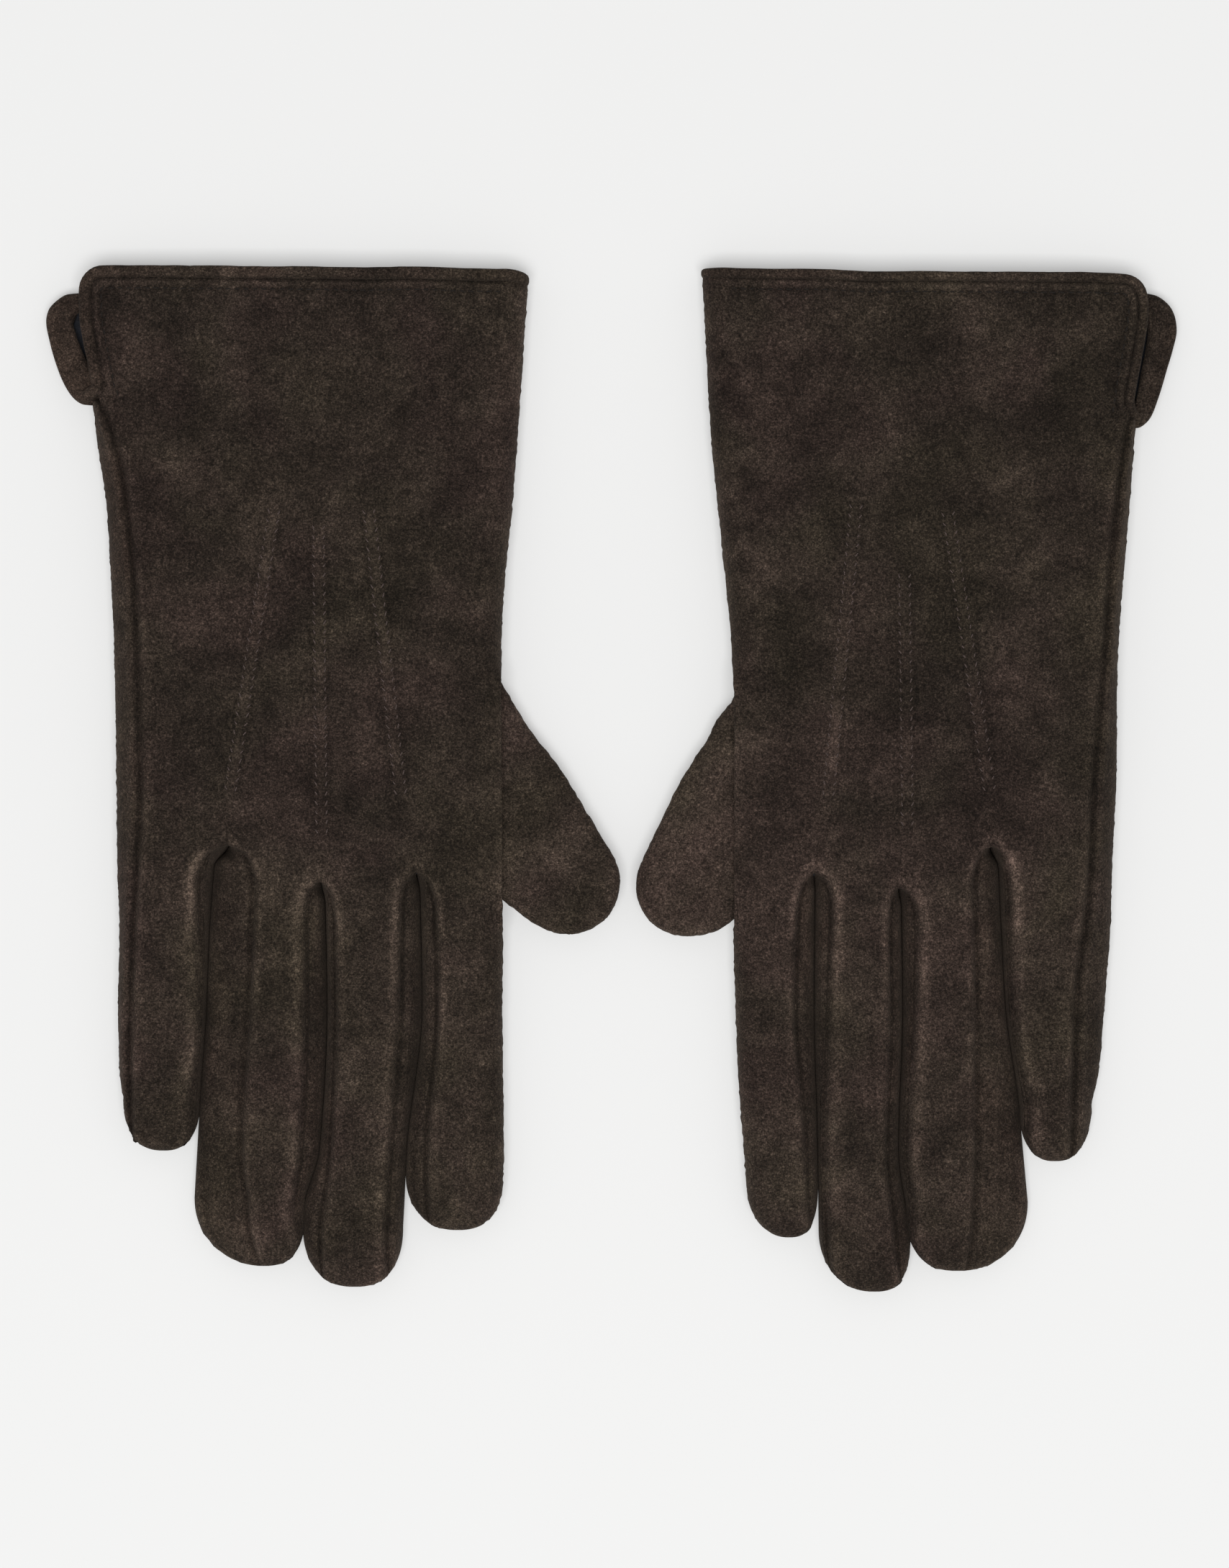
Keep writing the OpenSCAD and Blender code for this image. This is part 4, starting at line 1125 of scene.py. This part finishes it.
def build_thumb(glove, leather, fleece):
    """The thumb's leather, in two pieces, and its lining."""
    side = glove.side
    skin, thumb = thumb_skin(glove)
    root, end = f"{side}_thumb_root", f"{side}_thumb_end"

    def place(s):
        c = thumb["centre"] + thumb["d"] * s
        return tuple(to_row(glove, np.array([c[0], c[1], BEND_HEIGHT])))
    bend = {"start": place(thumb["crease"] - 8), "end": place(thumb["crease"] + 8)}
    base = settle(shell(f"{side}_thumb_root_leather", glove, skin, ["thumb_base"], leather), "suede",
                  f"{side}_thumb_base")
    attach(base, root)
    tip = settle(shell(f"{side}_thumb_tip_leather", glove, skin, ["thumb_tip"], leather), "suede",
                 f"{side}_thumb_tip")
    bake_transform(tip)
    inner = shell(f"{side}_thumb_fleece", glove, skin, ["thumb_tip"], fleece, LINING_TOP, FLEECE)
    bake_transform(settle(inner, "fleece", f"{side}_thumb_lining"))


def build_binding(glove, height, side_leather):
    """The leather binding round the cuff and down the vent, and its end at the vent's foot."""
    side, inset = glove.side, glove.band / 2
    outline = glove.course(inset, glove.foot + 3.5)
    z = np.array([height(u, min(v, 120.5)) for u, v in outline]) - 0.75
    z = np.convolve(np.pad(z, 4, mode="edge"), np.ones(9) / 9, "valid")
    outline = np.column_stack([outline, z])
    edge = through(np.concatenate([glove.hook[2:], outline]), 260)
    top_z = edge[-1, 2]
    z_mid = top_z / 2 + 0.75
    a = np.linspace(math.pi / 2, -math.pi / 2, 13)[1:]
    fold_u = glove.fold_start() + 5.6 * np.cos(a)
    fold = np.column_stack([fold_u, glove.hem(fold_u) - inset, z_mid + (top_z - z_mid) * np.sin(a)])
    under_u = np.arange(glove.fold_start() - 1.5, glove.outer(110.0) + 3, -1.5)
    dip = CORNER - np.sqrt(CORNER ** 2 - np.clip(CORNER - (under_u - glove.seam(120)), 0, CORNER) ** 2)
    under = np.column_stack([under_u, glove.hem(under_u) - inset - dip, np.full(len(under_u), 1.45)])

    def strap(name, path):
        """Binding along a path, which lies flat on the back and stands up round the fold."""
        tangent = unit(np.gradient(path, axis=0))
        outward = np.tile([0.0, 1.0, 0.0], (len(path), 1))
        on_back = np.arange(len(path)) < np.argmax(path[:, 0])
        corner = (path[:, 0] < glove.turn_u() + 1) & on_back
        outward[corner] = unit(np.cross(np.array([0, 0, 1.0]), tangent[corner]))
        outward = unit(outward - tangent * np.sum(outward * tangent, axis=1, keepdims=True))
        up = np.cross(tangent, outward)
        swell = 1 + 0.05 * noise(path[:, 0] + path[:, 1], path[:, 0] - path[:, 1], 4, 71)
        p, faces = sweep(path, outward * swell[:, None], up, inset, 1.4)
        # the wear attribute paints a highlight on the strap's top and underside and painted shade on its
        # sides
        around = np.linspace(0, 2 * math.pi, STRAP_TURNS, endpoint=False)
        crest = np.tile(np.sin(around), len(path))
        return new_object(name, glove, p, fix_winding(p, faces), side_leather,
                          wear_and_painted_light=0.65 * np.abs(crest) ** 2 - 0.25)
    binding = strap(f"{side}_cuff_binding_leather", resample(np.concatenate([edge, fold, under]), 1.0))
    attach(settle(binding, "suede_side", f"{side}_cuff_binding"), f"{side}_hand")
    turned = resample(through(np.concatenate([glove.hook, outline[:2]]), 40), 0.5)
    end = strap(f"{side}_vent_binding_end", turned)
    bend_vent(settle(end, "suede_side", f"{side}_vent_flap"), glove)


def build_stitching(glove, height, hem_thread, point_thread):
    """The hem's row of stitches, and the two rows of slanting stitches on each point."""
    side = glove.side
    line = resample(glove.course(glove.band + 2.6, glove.foot + 1.5), 2.2)
    along = unit(np.gradient(line, axis=0))
    rows = [(np.array([*q, height(*q)]), np.array([*t, 0.0])) for q, t in zip(line, along)]
    row = stitches(f"{side}_hem_threads", glove, rows, hem_thread, 1.6, 0.17, 0.08, 3)
    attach(settle(row, "thread", f"{side}_hem_stitching"), f"{side}_hand")

    rows = []
    for low, high in glove.points:
        ends = np.array([low[::-1], high[::-1]])
        along = unit(ends[1] - ends[0])
        across = np.array([along[1], -along[0]])
        for offset in (-1.25, 1.25):
            lean = unit(along + 0.5 * across * math.copysign(1, offset))
            line = resample(ends + across * offset, 2.3)
            rows += [(np.array([*q, height(*q)]), np.array([*lean, 0.0])) for q in line]
    sink = 0.04 + 0.20 * (1 - glove.show)
    row = stitches(f"{side}_point_threads", glove, rows, point_thread, 1.35, 0.17, sink, 4)
    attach(settle(row, "thread", f"{side}_point_stitching"), f"{side}_hand")


def bend_vent(piece, glove):
    """Bakes a piece's place into its mesh; the vent's hinge and the ends of its bend are worked out but
    not used.
    """
    hinge_u = glove.sign * (JOINTS[f"{glove.side}_vent_fold"]["pos_m"][0] / MM - glove.x0)
    ends = [tuple(to_row(glove, np.array([hinge_u + d, 105.0, BEND_HEIGHT]))) for d in (2.0, -2.0)]
    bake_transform(piece)


def build_vent(glove, side_leather):
    """The vent's palm-side facing, splayed outwards: a padded leaf with a turned edge."""
    side = glove.side
    outer, inner = (through(line, LEAF_POINTS) for line in glove.leaf)
    s = np.linspace(0, 1, LEAF_POINTS)[:, None]
    t = crowded(26, 0.6)[None, :]
    flat = outer[:, None] + (inner - outer)[:, None] * t[..., None]
    u, v = flat[..., 0], flat[..., 1]
    width = np.linalg.norm(inner - outer, axis=1)[:, None]
    length = np.linalg.norm(np.diff(outer, axis=0), axis=1).sum()
    near = np.minimum(np.minimum(t, 1 - t) * width, np.minimum(s, 1 - s) * length)
    padding = 1 - np.clip(near / 1.7, 0, 1)
    padding = 1.45 * np.sqrt(1 - padding ** 2)
    middle = mix(6.2, 3.7, ease(s, 0.02, 0.45)) + 1.0 * ease(t, 0.3, 1.0) * ease(s, 0.1, 0.4)
    ripple = 0.25 * noise(u, v, 6, 61) + 0.12 * noise(u, v, 2.6, 62)
    top = middle + padding * (1 + ripple)
    # a lighter band along the padded rim, partly rubbed nap and partly painted highlight, and painted
    # highlights on the ripples' crests
    wear_and_painted_light = 0.10 + 0.25 * hump(near, 1.6, 0.9) + 0.6 * ripple
    skin, labels = Skin(), ["leaf"] * (LEAF_POINTS - 1)
    skin.add(np.stack([u, v, top], -1)[::-1], labels, wear_and_painted_light[::-1])
    skin.add(np.stack([u, v, middle - padding * 0.9], -1), labels)
    skin.weld()
    faces = fix_winding(skin.p, faces_with_three_or_four(skin.f))
    piece = new_object(f"{side}_vent_facing", glove, skin.p, faces, side_leather, wear_and_painted_light=skin.wear_and_painted_light)
    bend_vent(settle(piece, "suede_side", f"{side}_vent_flap"), glove)


def build_glove(side, leather, side_leather, fleece, hem_thread, point_thread):
    """All the pieces of one glove."""
    glove = Glove(side)
    skin = leather_skin(glove)
    build_hand(glove, skin, leather, side_leather, fleece)
    build_fingers(glove, skin, leather, side_leather, fleece)
    build_thumb(glove, leather, fleece)
    height = surface_height(skin, ["back", "back_bare"])
    build_binding(glove, height, side_leather)
    build_stitching(glove, height, hem_thread, point_thread)
    build_vent(glove, side_leather)


# ---- Floor, light and camera -----------------------------------------------------------------

def build_stage():
    """A plain pale floor, an even studio light all round and one soft lamp."""
    mesh = bpy.data.meshes.new("floor")
    half, z = 4.0, -0.0004
    corners = [(-half, -half, z), (half, -half, z), (half, half, z), (-half, half, z)]
    mesh.from_pydata(corners, [], [(0, 1, 2, 3)])
    floor = bpy.data.objects.new("floor", mesh)
    bpy.context.scene.collection.objects.link(floor)
    m = Nodes("pale_floor")
    m.out("Base Color", (0.56, 0.56, 0.557, 1))
    m.out("Emission Color", (1.0, 1.0, 0.995, 1))
    m.out("Emission Strength", 0.31)
    m.out("Roughness", 0.8)
    m.out("Specular IOR Level", 0.1)
    mesh.materials.append(m.material)

    world = bpy.data.worlds.new("studio")
    bpy.context.scene.world = world
    world.use_nodes = True
    background = world.node_tree.nodes["Background"]
    background.inputs["Color"].default_value = (1.0, 1.0, 0.995, 1)
    background.inputs["Strength"].default_value = 0.43

    data = bpy.data.lights.new("key", "AREA")
    data.shape = "RECTANGLE"
    data.size, data.size_y = 1.6, 1.0
    data.energy = 48
    light = bpy.data.objects.new("key", data)
    light.location = (-0.05, -0.66, 2.6)
    light.rotation_euler = (-Vector(light.location)).to_track_quat("-Z", "Y").to_euler()
    bpy.context.scene.collection.objects.link(light)


def build_camera():
    """Straight above the gloves, with the cuffs at the top of the picture."""
    height, seen_length, seen_at, sensor = 1.25, 0.3835, 0.008, 36
    data = bpy.data.cameras.new("camera")
    data.sensor_fit = "VERTICAL"
    data.sensor_height = sensor
    data.lens = sensor * (height - seen_at) / seen_length
    data.clip_start, data.clip_end = 0.05, 20
    camera = bpy.data.objects.new("camera", data)
    camera.location = (0.0008, -0.0014, height)
    bpy.context.scene.collection.objects.link(camera)
    bpy.context.scene.camera = camera


BACK_TINTS = ((0.96, 1.0, 0.93, 1), (1.0, 1.0, 1.0, 1), (1.05, 0.98, 1.04, 1))
SIDE_TINTS = ((0.97, 1.0, 0.93, 1), (1.0, 1.0, 1.0, 1), (1.05, 0.99, 1.0, 1))
suede_back = suede("suede_back", srgb(49, 41, 35), BACK_TINTS)
suede_sides = suede("suede_sides", srgb(48, 40, 34), SIDE_TINTS)
fleece_knit = fleece_material()
hem = thread_material("hem_thread", srgb(24, 20, 17), srgb(40, 34, 30))
points = thread_material("point_thread", srgb(58, 48, 45), srgb(104, 89, 84))
build_camera()
build_stage()
for side_name in ("right", "left"):
    build_glove(side_name, suede_back, suede_sides, fleece_knit, hem, points)

bpy.context.scene.view_settings.view_transform = "Standard"
